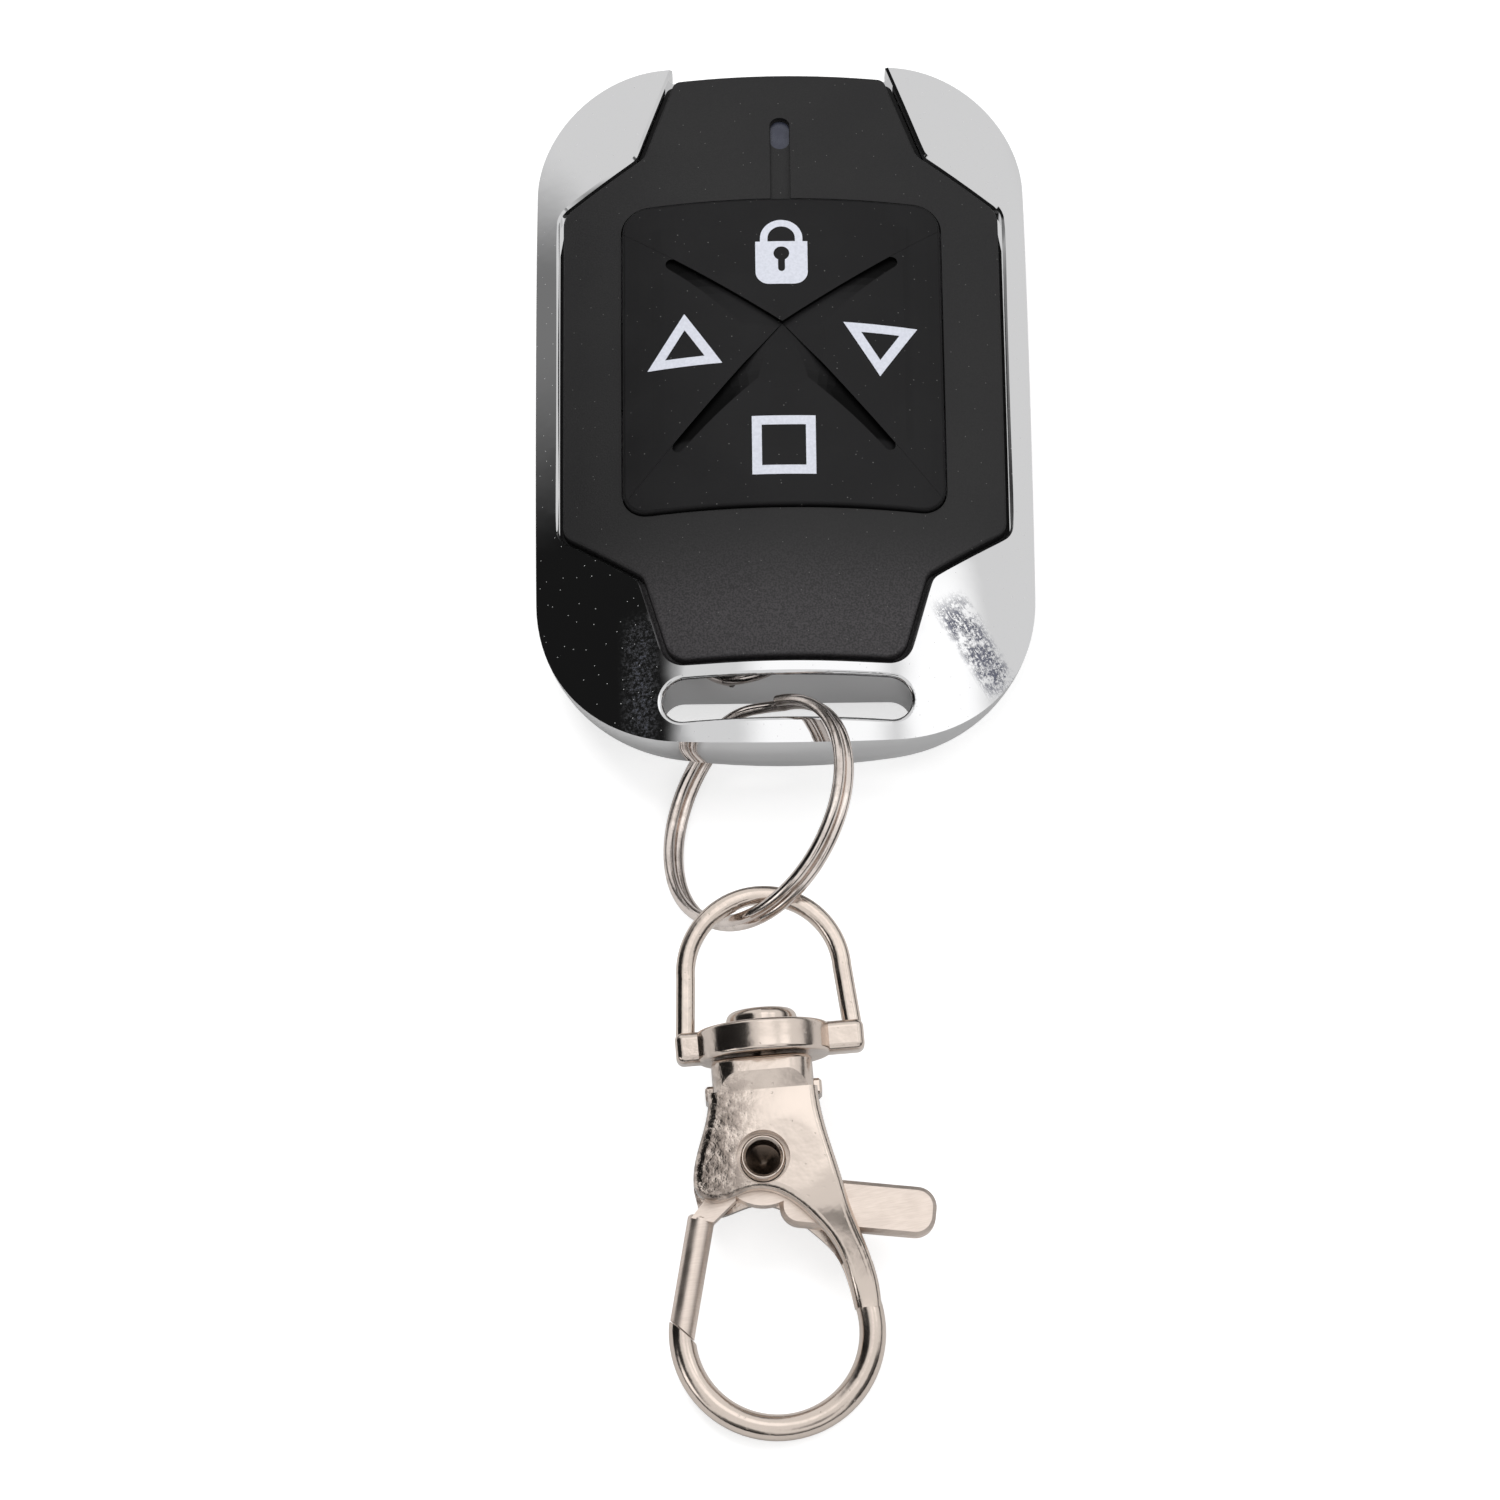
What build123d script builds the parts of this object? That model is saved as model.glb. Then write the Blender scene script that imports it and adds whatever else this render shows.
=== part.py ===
"""Remote key fob with a split ring and a swivel trigger clasp.

Frame: millimetres, the fob lies on its back, +Z out of its front face, +Y towards its lamp end,
-Y towards the ring and the clasp. The origin is on the flat back face, amid its width.
"""
from build123d import *
from math import asin, atan2, cos, degrees, radians, sin, sqrt, tan
import os

# Fob, outer sizes
FOB_WIDTH = 40.7
FOB_LENGTH = 62.4
RING_END_Y = -31.9
FOB_THICKNESS = 12.0
END_BOW_RADIUS = 60.0
LAMP_CORNER_RADIUS = 10.5
RING_CORNER_RADIUS = 13.5
CROWN_RADIUS_ACROSS = 43.0
CROWN_RADIUS_ALONG = 200.0
CROWN_REACH = 0.6
KEY_PROUD = 0.35

# Frame of plated metal, open between its two wings
FRAME_BACK = 3.6
FRAME_BELLY = 6.0
FRAME_BACK_INSET = 0.45
FRAME_FRONT_INSET = 1.0
FRAME_PROUD = 0.1
FRAME_BACK_ROUNDING = 0.7
FRAME_LIP_CHAMFER = 0.24
LEDGE_WIDTH = 0.9
LEDGE_BOTTOM = 4.9
LEDGE_TOP = 5.9
SIDE_GAP = 0.35
WING_GAP = 0.6
SLOT_LENGTH = 20.0
SLOT_WIDTH = 3.45
SLOT_BAR = 2.45
SLOT_EDGE_ROUNDING = 0.35
SLOT_BACK_ROUNDING = 0.55

# Front cover, the right-hand corners of its outline from the lamp end to the ring end
TONGUE_END = (8.75, 29.2)
TONGUE_ROOT = (11.35, 21.8)
SIDE_STRIP = 2.25
UPPER_SHOULDER_Y = 17.4
LOWER_SHOULDER_Y = -12.3
FOOT_ROOT = (11.5, -17.0)
FOOT_END = (9.35, -24.35)
COVER_CORNER_RADII = (0.7, 1.3, 1.6, 1.6, 1.6, 2.0)
COVER_WALL = 1.3
COVER_EDGE_ROUNDING = 0.25
COVER_RIM_DROP = 1.1
COVER_RIM_FIT = 0.05

# Rear cover
REAR_INSET = 1.9
REAR_FIT = 0.12
REAR_FLOOR = 1.2
REAR_WALL = 1.3
REAR_EDGE_ROUNDING = 1.3
REAR_CORNER_RADIUS = 3.0
REAR_END_Y = -24.0

# Key pad of four keys
PAD_WIDTH = 26.3
PAD_LENGTH = 28.3
PAD_CENTRE_Y = 2.45
PAD_CORNER_RADIUS = 2.1
PAD_EDGE_ROUNDING = 0.3
PAD_GAP = 0.13
KEY_SPLIT = 0.02
KEY_TRAVEL = 0.35
KEY_UNDERSIDE = 8.35
KEY_TAB_REACH = 0.8
KEY_TAB_LENGTH = 8.0
KEY_TAB_HEIGHT = 0.35
KEY_TAB_PLAY = 0.04
CROSS_Y = 4.8
UPPER_ARM = (9.2, 11.45)
LOWER_ARM = (9.3, -6.2)
ARM_WIDTH = 0.95
ARM_WIDTH_HALFWAY = 1.5
ARM_WIDTH_AT_CROSS = 2.8
ARM_DEPTH = 0.42
DISH_DEPTH = 0.35
DISH_RADIUS = 4.6
DISH_DROP = 1.2
LOCK_KEY = (0, 12.1)
UP_KEY = (-8.3, 3.9)
DOWN_KEY = (8.3, 3.9)
STOP_KEY = (0, -6.2)

# Rubber mat under the keys
MAT_BOTTOM = 7.55
MAT_THICKNESS = 0.4
MAT_MARGIN = 1.0
MAT_WALL = 1.0
MAT_POCKET_FIT = 0.1
KEY_STEM_RADIUS = 1.7
KEY_STEM_BOTTOM = 7.3
STEM_CLEARANCE = 0.25

# Circuit board and what it carries
BOARD_BOTTOM = 5.0
BOARD_THICKNESS = 0.9
BOARD_CLEARANCE = 0.5
SWITCH_SIDE = 5.0
SWITCH_HEIGHT = 0.95
SWITCH_FLOOR = 0.25
PLUNGER_RADIUS = 1.1
PLUNGER_CLEARANCE = 0.08
PLUNGER_SPARE = 0.05
PROCESSOR = (5.0, 5.0, 0.9)
PROCESSOR_PLACE = (0, -16.6)
RESONATOR = (3.2, 2.5, 1.1)
RESONATOR_PLACE = (5.6, -15.4)
ANTENNA_HALF_WIDTH = 7.4
ANTENNA_TOP_Y = 22.2
ANTENNA_FOOT_Y = 18.4
ANTENNA_STRIP = (0.8, 0.3)
CHIP = (1.0, 0.5, 0.4)
CHIP_PLACES = ((-5.6, -14.6), (-5.6, -15.6), (-5.6, -16.6), (-4.2, 19.2), (-4.2, 20.2), (4.2, 19.7))
CELL_RADIUS = 10.0
CELL_THICKNESS = 3.2
CELL_PLACE = (0, 3.0)
CELL_CAP_RADIUS = 8.8
CELL_CAP_HEIGHT = 0.3
CELL_FIT = 0.15
CELL_WALL = 0.8
CELL_WALL_HEIGHT = 2.2
CONTACT_THICKNESS = 0.2
CONTACT_WIDTH = 4.0
CONTACT_LENGTH = 6.0
CONTACT_DIMPLE_RADIUS = 1.2
SIDE_CONTACT_DROP = 2.4

# Lamp in the front cover
LAMP_Y = 23.25
LAMP_WIDTH = 1.6
LAMP_LENGTH = 2.85
CHANNEL_WIDTH = 1.7
CHANNEL_DEPTH = 0.35
CHANNEL_END_Y = 24.8
LENS_SINK = 0.12
LENS_FIT = 0.02
LENS_BOTTOM = 6.9
LENS_FLANGE = 0.5
LENS_FLANGE_TOP = 8.75
LENS_FLANGE_THICKNESS = 0.5
LAMP_CHIP = (1.6, 0.9, 0.7)

# Screws from the back, through the board, into the front cover
SCREW_PLACES = ((7.0, -20.6), (-7.0, -20.6), (6.6, 25.4), (-6.6, 25.4))
SCREW_RADIUS = 0.85
SCREW_HEAD_RADIUS = 1.6
SCREW_HEAD_HEIGHT = 0.9
SCREW_HEAD_SINK = 0.4
SCREW_LENGTH = 6.2
SCREW_FIT = 0.02
SCREW_HEAD_FIT = 0.1
SCREW_BOARD_FIT = 0.15
SCREW_CROSS_LENGTH = 1.7
SCREW_CROSS_WIDTH = 0.35
SCREW_CROSS_DEPTH = 0.45
BOSS_RADIUS = 1.9

# Split ring of two turns, tilted through the slot
RING_RADIUS = 9.8
RING_WIRE = 0.92
RING_TURN_GAP = 0.04
RING_STEP_HALF_ANGLE = 17.0
RING_END_ANGLE = 1.5
RING_TILT = 46.0
RING_RISE = 10.0
RING_TOP = (-2.6, -27.5, 6.3)

# Bail between the ring and the clasp
BAIL_WIRE = 1.5
BAIL_DEPTH = 1.7
BAIL_EDGE = 0.6
BAIL_HALF_WIDTH = 6.2
BAIL_SPLAY = 0.5
BAIL_SHIFT = 1.3
BAIL_TOP_V = 21.15
BAIL_FOOT_V = 9.2
BAIL_HANG_GAP = 0.4
HUB_BOTTOM_V = 8.1
HUB_LENGTH = 2.5
HUB_RADIUS = 5.3
HUB_EDGE = 0.35
CROSSBAR_DEPTH = 2.4

# Clasp, in its own axes: u across, v towards the bail, w out of its front; origin at the trigger rivet
CLASP_LEAN = 4.1
CLASP_HALF_THICKNESS = 2.8
SWIVEL_U = 0.8
COLLAR_U = 0.5
COLLAR_HALF_WIDTH = 3.98
COLLAR_HALF_DEPTH = 3.6
COLLAR_CORNER = 2.1
COLLAR_TOP_V = 7.95
COLLAR_LENGTH = 2.6
COLLAR_SLOPE_TOP_V = 6.75
EAR_WIDTH = 9.2
EAR_TOP_V = 6.6
EAR_FRONT = 0.6
CLASP_SLOT = 2.3
CLASP_SLOT_TOP_V = 4.6
CLASP_SLOT_END_V = -8.6
CLASP_TAPER_V = -3.5
SPINE_END_V = -12.2
HOOK_CENTRE_V = -13.5
HOOK_RADIUS = 7.45
HOOK_ROD = 2.1
HOOK_SPINE_ANGLE = 16.0
HOOK_NOSE_ANGLE = -190.0
REAR_ARCH_DROP = 0.8
CAST_CHAMFER = 0.4
CAST_ROUNDING = 0.7
FLOOR_PLAY = 0.02

# Trigger
LEVER_THICKNESS = 2.0
LEVER_HUB_RADIUS = 3.6
LEVER_CHAMFER = 0.3
GATE_TOP = (-5.16, -3.9)
GATE_DIRECTION = (-0.246, -0.969)
GATE_RADIUS = 1.06
GATE_LENGTH = 10.8
CUT_POINT = (-7.5, -12.8)
CUT_ANGLE = -45.0
CUT_GAP = 0.12
LEVER_WEB = ((-2.4, 2.2), (-4.9, -2.9), (-6.0, -4.1), (-4.3, -4.6), (-2.4, -3.0))
TAB_ROOT_U = 3.0
TAB_ROOT_V = -3.5
TAB_END_U = 11.25
TAB_END_V = -4.95
TAB_WIDTH = 3.9
TAB_CORNER = 1.6

# Rivets and spring of the clasp
RIVET_RADIUS = 1.75
RIVET_BORE_RADIUS = 1.38
RIVET_BORE_DEPTH = 3.2
DRILL_POINT_ANGLE = 118.0
RIVET_FRONT_HOLE_RADIUS = 2.12
RIVET_FIT = 0.02
RIVET_LIP = 0.2
RIVET_EDGE = 0.1
LEVER_FIT = 0.05
SWIVEL_RADIUS = 1.3
SWIVEL_HEAD_RADIUS = 2.8
SWIVEL_HEAD_HEIGHT = 1.2
SWIVEL_HEAD_ROUNDING = 0.6
SWIVEL_GAP = 0.15
SWIVEL_FIT = 0.05
SWIVEL_SEAT = 2.2
SPRING_WIRE = 0.3
SPRING_RADIUS = 2.25
SPRING_TURNS = 3
SPRING_PITCH = 0.42
SPRING_POCKET_FIT = 0.12
SPRING_LEG_ANGLES = (-8.0, 60.0)

# Sizes that are only large enough to cut through everything
THROUGH = 100.0
DEEP = -8.0
HIGH = 20.0

# Places closer than this count as one, and points of a wound wire further apart than this share of its
# length lie on different turns
NEAR = 0.01
TURNS_APART = 0.2

BASE = (Align.CENTER, Align.CENTER, Align.MIN)
MIDDLE_UP = (Align.CENTER, Align.MIN, Align.CENTER)

half_width = FOB_WIDTH / 2
cover_half_width = half_width - SIDE_STRIP
lamp_end_y = RING_END_Y + FOB_LENGTH
cover_top = FOB_THICKNESS - KEY_PROUD
frame_top = cover_top + FRAME_PROUD
roof_underside = cover_top - COVER_WALL
slot_y = RING_END_Y + SLOT_BAR + SLOT_WIDTH / 2
board_top = BOARD_BOTTOM + BOARD_THICKNESS
mat_top = MAT_BOTTOM + MAT_THICKNESS
pad_top_y = PAD_CENTRE_Y + PAD_LENGTH / 2
pad_bottom_y = PAD_CENTRE_Y - PAD_LENGTH / 2
pad_half_width = PAD_WIDTH / 2
screw_seat = SCREW_HEAD_SINK + SCREW_HEAD_HEIGHT
cell_bottom = REAR_FLOOR + CONTACT_THICKNESS / 2
cell_top = cell_bottom + CELL_THICKNESS
pocket_depth = SPRING_PITCH * SPRING_TURNS + SPRING_WIRE + SPRING_POCKET_FIT
keys = {"lock": LOCK_KEY, "up": UP_KEY, "down": DOWN_KEY, "stop": STOP_KEY}


def prism(plan, bottom, top):
    """A plan drawn on the ground plane, raised between two heights."""
    return extrude(Pos(0, 0, bottom) * plan, top - bottom)


def crowned(top):
    """Everything below the doubly curved front surface whose highest point is at the given height."""
    span = FOB_WIDTH * CROWN_REACH
    side = top - CROWN_RADIUS_ACROSS + sqrt(CROWN_RADIUS_ACROSS**2 - span**2)
    arc = ThreePointArc((-span, 0, side), (0, 0, top), (span, 0, side))
    walls = Polyline((span, 0, side), (span, 0, DEEP), (-span, 0, DEEP), (-span, 0, side))
    axis = Axis((0, 0, top - CROWN_RADIUS_ALONG), (1, 0, 0))
    half_turn = degrees(asin(FOB_LENGTH * CROWN_REACH / CROWN_RADIUS_ALONG))
    profile = Face(Wire(arc.edges() + walls.edges()))
    return revolve(profile.rotate(axis, -half_turn), axis, 2 * half_turn)


def crown_height(x, y, top):
    """Height of that front surface over a point of the plan."""
    reach = CROWN_RADIUS_ALONG - CROWN_RADIUS_ACROSS + sqrt(CROWN_RADIUS_ACROSS**2 - x**2)
    return top - CROWN_RADIUS_ALONG + sqrt(reach**2 - y**2)


def frame_plan(inset=0.0):
    """Plan of the fob: a rounded rectangle whose ring end is bowed."""
    plan = Pos(0, (RING_END_Y + lamp_end_y) / 2) * Rectangle(FOB_WIDTH, FOB_LENGTH)
    plan &= Pos(0, RING_END_Y + END_BOW_RADIUS) * Circle(END_BOW_RADIUS)
    plan = fillet(plan.vertices().filter_by(lambda v: v.Y > 0), LAMP_CORNER_RADIUS)
    side_ends = plan.vertices().filter_by(lambda v: v.Y < 0 and abs(v.X) > half_width - 1)
    plan = fillet(side_ends, RING_CORNER_RADIUS)
    return offset(plan, -inset) if inset else plan


def cover_plan(end_gap, wing_gap, side_gap):
    """Plan of the front cover, each of its sides moved out by a gap of its own."""
    right = [
        TONGUE_END,
        TONGUE_ROOT,
        (cover_half_width, UPPER_SHOULDER_Y),
        (cover_half_width, LOWER_SHOULDER_Y),
        FOOT_ROOT,
        FOOT_END,
    ]
    corners = [Vector(x, y) for x, y in right] + [Vector(-x, y) for x, y in reversed(right)]
    gaps = [wing_gap, side_gap, side_gap, side_gap, side_gap, side_gap]
    gaps = gaps + gaps[-2::-1] + [end_gap]
    lines = []
    for start, end, gap in zip(corners, corners[1:] + corners[:1], gaps):
        along = (end - start).normalized()
        lines.append((start + along.rotate(Axis.Z, 90) * gap, along))
    moved = []
    for (point, along), (other, turned) in zip(lines[-1:] + lines[:-1], lines):
        share = (other - point).cross(turned).Z / along.cross(turned).Z
        moved.append(point + along * share)
    radii = COVER_CORNER_RADII + COVER_CORNER_RADII[::-1]
    return make_face(FilletPolyline(*moved, radius=radii, close=True))


def even_cover_plan(gap):
    """Plan of the front cover with all its sides moved out by one gap."""
    return cover_plan(gap, gap, gap)


def pad_plan(gap=0.0):
    """Plan of the key pad, larger by a gap all round."""
    size = (PAD_WIDTH + 2 * gap, PAD_LENGTH + 2 * gap)
    return Pos(0, PAD_CENTRE_Y) * RectangleRounded(*size, PAD_CORNER_RADIUS + gap)


def rear_plan(gap=0.0):
    """Plan of the rear cover, which stops short of the slot, larger by a gap all round."""
    plan = frame_plan(REAR_INSET - gap)
    end_y = REAR_END_Y - gap
    plan &= Pos(0, end_y + THROUGH / 2) * Rectangle(THROUGH, THROUGH)
    ends = plan.vertices().filter_by(lambda v: abs(v.Y - end_y) < NEAR)
    return fillet(ends, REAR_CORNER_RADIUS + gap)


def edges_within(body, low, high):
    """Edges of a body that lie wholly in a box."""
    slack = 0.05
    found = []
    for edge in body.edges():
        box = edge.bounding_box()
        above = all(a >= b - slack for a, b in zip(box.min, low))
        below = all(a <= b + slack for a, b in zip(box.max, high))
        if above and below:
            found.append(edge)
    return found


def screw_holes(radius, bottom, top):
    """Round holes at the four screws."""
    return [Pos(x, y, bottom) * extrude(Circle(radius), top - bottom) for x, y in SCREW_PLACES]


def make_frame():
    """Plated frame: a bowed bar with a slot at the ring end and two wings beside the front cover."""
    insets = (FRAME_BACK_INSET, 0.0, FRAME_FRONT_INSET)
    heights = (FRAME_BACK, FRAME_BELLY, frame_top)
    body = loft([Pos(0, 0, z) * frame_plan(inset) for inset, z in zip(insets, heights)])
    body = fillet(body.faces().sort_by(Axis.Z)[0].edges(), FRAME_BACK_ROUNDING)
    end_gap = lamp_end_y - TONGUE_END[1] + 3 * WING_GAP
    body -= prism(cover_plan(end_gap, WING_GAP, SIDE_GAP), LEDGE_TOP, HIGH)
    inner = cover_plan(end_gap, WING_GAP - LEDGE_WIDTH, SIDE_GAP - LEDGE_WIDTH)
    body -= prism(inner, LEDGE_BOTTOM, HIGH)
    body -= prism(rear_plan(REAR_FIT), DEEP, LEDGE_BOTTOM)
    lamp_end = Pos(0, lamp_end_y) * Rectangle(FOB_WIDTH, 2 * REAR_INSET)
    body -= prism(inner & lamp_end, DEEP, LEDGE_BOTTOM)
    body &= crowned(frame_top)
    body -= prism(Pos(0, slot_y) * SlotOverall(SLOT_LENGTH, SLOT_WIDTH), DEEP, HIGH)
    slot_low = (-SLOT_LENGTH / 2, slot_y - SLOT_WIDTH / 2)
    slot_high = (SLOT_LENGTH / 2, slot_y + SLOT_WIDTH / 2)
    body = fillet(edges_within(body, (*slot_low, LEDGE_TOP), (*slot_high, HIGH)), SLOT_EDGE_ROUNDING)
    body = fillet(edges_within(body, (*slot_low, DEEP), (*slot_high, LEDGE_BOTTOM)), SLOT_BACK_ROUNDING)
    side = cover_half_width + SIDE_GAP
    lip_low = (-side, FOOT_END[1] - SIDE_GAP, LEDGE_TOP + 2 * FRAME_LIP_CHAMFER)
    lip_high = (side, lamp_end_y - FRAME_BACK_INSET, HIGH)
    return chamfer(edges_within(body, lip_low, lip_high), FRAME_LIP_CHAMFER)


def make_front_cover():
    """Front cover: a crowned shell on a rim, with a key opening, a lamp window and screw bosses."""
    shell = prism(even_cover_plan(0), LEDGE_TOP, HIGH) & crowned(cover_top)
    shell = fillet(shell.faces().sort_by(Axis.Z)[-1].edges(), COVER_EDGE_ROUNDING)
    rim = cover_plan(0, WING_GAP - COVER_RIM_FIT, SIDE_GAP - COVER_RIM_FIT)
    shell += prism(rim, LEDGE_TOP, HIGH) & crowned(cover_top - COVER_RIM_DROP)
    cavity = prism(even_cover_plan(-COVER_WALL), DEEP, HIGH) & crowned(roof_underside)
    bosses = [prism(Pos(x, y) * Circle(BOSS_RADIUS), board_top, HIGH) for x, y in SCREW_PLACES]
    bosses = [boss & crowned(roof_underside + COVER_WALL / 2) for boss in bosses]
    tongue_width = 2 * TONGUE_END[0] - 3 * LEDGE_WIDTH
    tongue = Pos(0, TONGUE_END[1] - COVER_WALL / 2) * Rectangle(tongue_width, COVER_WALL)
    shell = shell - cavity + bosses + prism(tongue, LEDGE_BOTTOM, board_top + COVER_WALL)
    shell -= prism(pad_plan(PAD_GAP), DEEP, HIGH)
    mat_room = pad_plan(MAT_MARGIN + MAT_POCKET_FIT)
    shell -= prism(mat_room, DEEP, mat_top)
    shell -= [key_tab(name, mat_top, KEY_TAB_PLAY) for name in keys]
    shell -= screw_holes(SCREW_RADIUS + SCREW_FIT, DEEP, screw_seat + SCREW_LENGTH + SCREW_HEAD_FIT)
    window = Pos(0, LAMP_Y) * Rot(0, 0, 90) * SlotOverall(LAMP_LENGTH, LAMP_WIDTH)
    shell -= prism(window, DEEP, HIGH)
    channel_length = CHANNEL_END_Y - pad_top_y + CHANNEL_WIDTH
    channel_centre = CHANNEL_END_Y - channel_length / 2
    channel = Pos(0, channel_centre) * Rot(0, 0, 90) * SlotOverall(channel_length, CHANNEL_WIDTH)
    return shell - (prism(channel, LEDGE_TOP, HIGH) - crowned(cover_top - CHANNEL_DEPTH))


def key_tab(name, bottom, grow=0.0):
    """Tab under the front cover that keeps a key from falling out, grown by a gap for its pocket."""
    x, y = keys[name]
    across = KEY_TAB_LENGTH + 2 * grow
    if x:
        edge = pad_half_width * (1 if x > 0 else -1)
        outline = Pos(edge, PAD_CENTRE_Y) * Rectangle(2 * (KEY_TAB_REACH + grow), across)
    else:
        edge = pad_top_y if y > PAD_CENTRE_Y else pad_bottom_y
        outline = Pos(0, edge) * Rectangle(across, 2 * (KEY_TAB_REACH + grow))
    return prism(outline, bottom, KEY_UNDERSIDE + KEY_TAB_HEIGHT + grow)


def make_rear_cover():
    """Rear cover: a dished floor with a rim against the ledge, a cell cradle and screw bosses."""
    body = prism(rear_plan(), 0, LEDGE_BOTTOM)
    body = fillet(body.faces().sort_by(Axis.Z)[0].edges(), REAR_EDGE_ROUNDING)
    body -= prism(offset(rear_plan(), -REAR_WALL), REAR_FLOOR, HIGH)
    body += [prism(Pos(x, y) * Circle(BOSS_RADIUS), REAR_FLOOR / 2, BOARD_BOTTOM) for x, y in SCREW_PLACES]
    cradle = Circle(CELL_RADIUS + CELL_FIT + CELL_WALL) - Circle(CELL_RADIUS + CELL_FIT)
    cradle -= Pos(CELL_RADIUS, 0) * Rectangle(CELL_RADIUS, CONTACT_WIDTH + 2 * CELL_WALL)
    body += prism(Pos(*CELL_PLACE) * cradle, REAR_FLOOR / 2, REAR_FLOOR + CELL_WALL_HEIGHT)
    body -= screw_holes(SCREW_HEAD_RADIUS + SCREW_HEAD_FIT, DEEP, screw_seat)
    return body - screw_holes(SCREW_RADIUS + SCREW_HEAD_FIT, DEEP, HIGH)


def groove(end, key_side):
    """Cutter for one arm of the cross: a crisp wall on the arm's line, a floor that rises to one side."""
    start, end = Vector(0, CROSS_Y), Vector(*end)
    along = (end - start).normalized()
    aside = along.rotate(Axis.Z, 90 * key_side)
    sections = []
    for share, width in ((0.0, ARM_WIDTH_AT_CROSS), (0.5, ARM_WIDTH_HALFWAY), (1.0, ARM_WIDTH)):
        foot = start + (end - start) * share
        wall = foot - aside * KEY_SPLIT
        rim = foot + aside * width
        wall_z = crown_height(foot.X, foot.Y, FOB_THICKNESS)
        rim_z = crown_height(rim.X, rim.Y, FOB_THICKNESS)
        corners = (
            (wall.X, wall.Y, wall_z - ARM_DEPTH),
            (rim.X, rim.Y, rim_z),
            (rim.X, rim.Y, wall_z + 1),
            (wall.X, wall.Y, wall_z + 1),
        )
        sections.append(make_face(Polyline(*corners, close=True)))
    end_radius = ARM_WIDTH / 2
    end_place = Pos(end + (aside - along) * end_radius)
    turn = Rot(0, 0, degrees(atan2(along.Y, along.X)))
    square_end = end_place * turn * Pos(ARM_WIDTH / 2, 0) * Rectangle(ARM_WIDTH, 2 * ARM_WIDTH)
    return loft(sections) - prism(square_end - end_place * Circle(end_radius), DEEP, HIGH)


def make_dish():
    """Cutter of the shallow dish where three of the keys meet."""
    radius = (DISH_RADIUS**2 + DISH_DEPTH**2) / (2 * DISH_DEPTH)
    y = CROSS_Y - DISH_DROP
    return Pos(0, y, crown_height(0, y, FOB_THICKNESS) + radius - DISH_DEPTH) * Sphere(radius)


def make_keys():
    """Four keys cut out of one crowned pad, each with a stem, a tab and its edges of the cross."""
    pad = prism(pad_plan(), KEY_UNDERSIDE, HIGH) & crowned(FOB_THICKNESS)
    pad = fillet(pad.faces().sort_by(Axis.Z)[-1].edges(), PAD_EDGE_ROUNDING)
    upper_right, upper_left = UPPER_ARM, (-UPPER_ARM[0], UPPER_ARM[1])
    lower_right, lower_left = LOWER_ARM, (-LOWER_ARM[0], LOWER_ARM[1])
    sides = {
        "lock": (upper_right, upper_left),
        "up": (upper_left, lower_left),
        "stop": (lower_left, lower_right),
        "down": (lower_right, upper_right),
    }
    dish = make_dish()
    cutters = {
        "lock": [],
        "down": [groove(upper_right, -1), dish],
        "up": [groove(upper_left, 1), dish],
        "stop": [groove(lower_right, -1), groove(lower_left, 1), dish],
    }
    centre = Vector(0, CROSS_Y)
    made = {}
    for name, (x, y) in keys.items():
        beyond = [centre + (Vector(*end) - centre) * 3 for end in sides[name]]
        wedge = make_face(Polyline(centre, *beyond, close=True))
        wedge = prism(offset(wedge, -KEY_SPLIT / 2, kind=Kind.INTERSECTION), DEEP, HIGH)
        key = (pad + key_tab(name, KEY_UNDERSIDE)) & wedge
        key += prism(Pos(x, y) * Circle(KEY_STEM_RADIUS), KEY_STEM_BOTTOM, KEY_UNDERSIDE + ARM_DEPTH)
        for cutter in cutters[name]:
            key -= cutter
        made[name] = key
    return made


def make_mat():
    """Rubber mat: a web with a hole round each key's stem, on a wall that stands on the board."""
    mat = prism(pad_plan(MAT_MARGIN), board_top, mat_top)
    mat -= prism(pad_plan(MAT_MARGIN - MAT_WALL), board_top, MAT_BOTTOM)
    for x, y in keys.values():
        mat -= prism(Pos(x, y) * Circle(KEY_STEM_RADIUS + STEM_CLEARANCE), DEEP, HIGH)
    return mat


def make_switch(x, y):
    """Housing of one push switch, with the bore that its plunger slides in."""
    body = Pos(x, y, board_top) * Box(SWITCH_SIDE, SWITCH_SIDE, SWITCH_HEIGHT, align=BASE)
    body = chamfer(body.edges().filter_by(Axis.Z), SWITCH_HEIGHT / 2)
    bore = Circle(PLUNGER_RADIUS + PLUNGER_CLEARANCE)
    return body - prism(Pos(x, y) * bore, board_top + SWITCH_FLOOR, HIGH)


def make_plunger(x, y):
    """Plunger of one push switch, from the key's stem down to just above the bottom of its travel."""
    bottom = board_top + SWITCH_FLOOR + KEY_TRAVEL + PLUNGER_SPARE
    return prism(Pos(x, y) * Circle(PLUNGER_RADIUS), bottom, KEY_STEM_BOTTOM)


def make_board():
    """Circuit board in the outline of the front cover's inside, with its screw holes."""
    board = prism(even_cover_plan(-COVER_WALL - BOARD_CLEARANCE), BOARD_BOTTOM, board_top)
    return board - screw_holes(SCREW_RADIUS + SCREW_BOARD_FIT, DEEP, HIGH)


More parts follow.
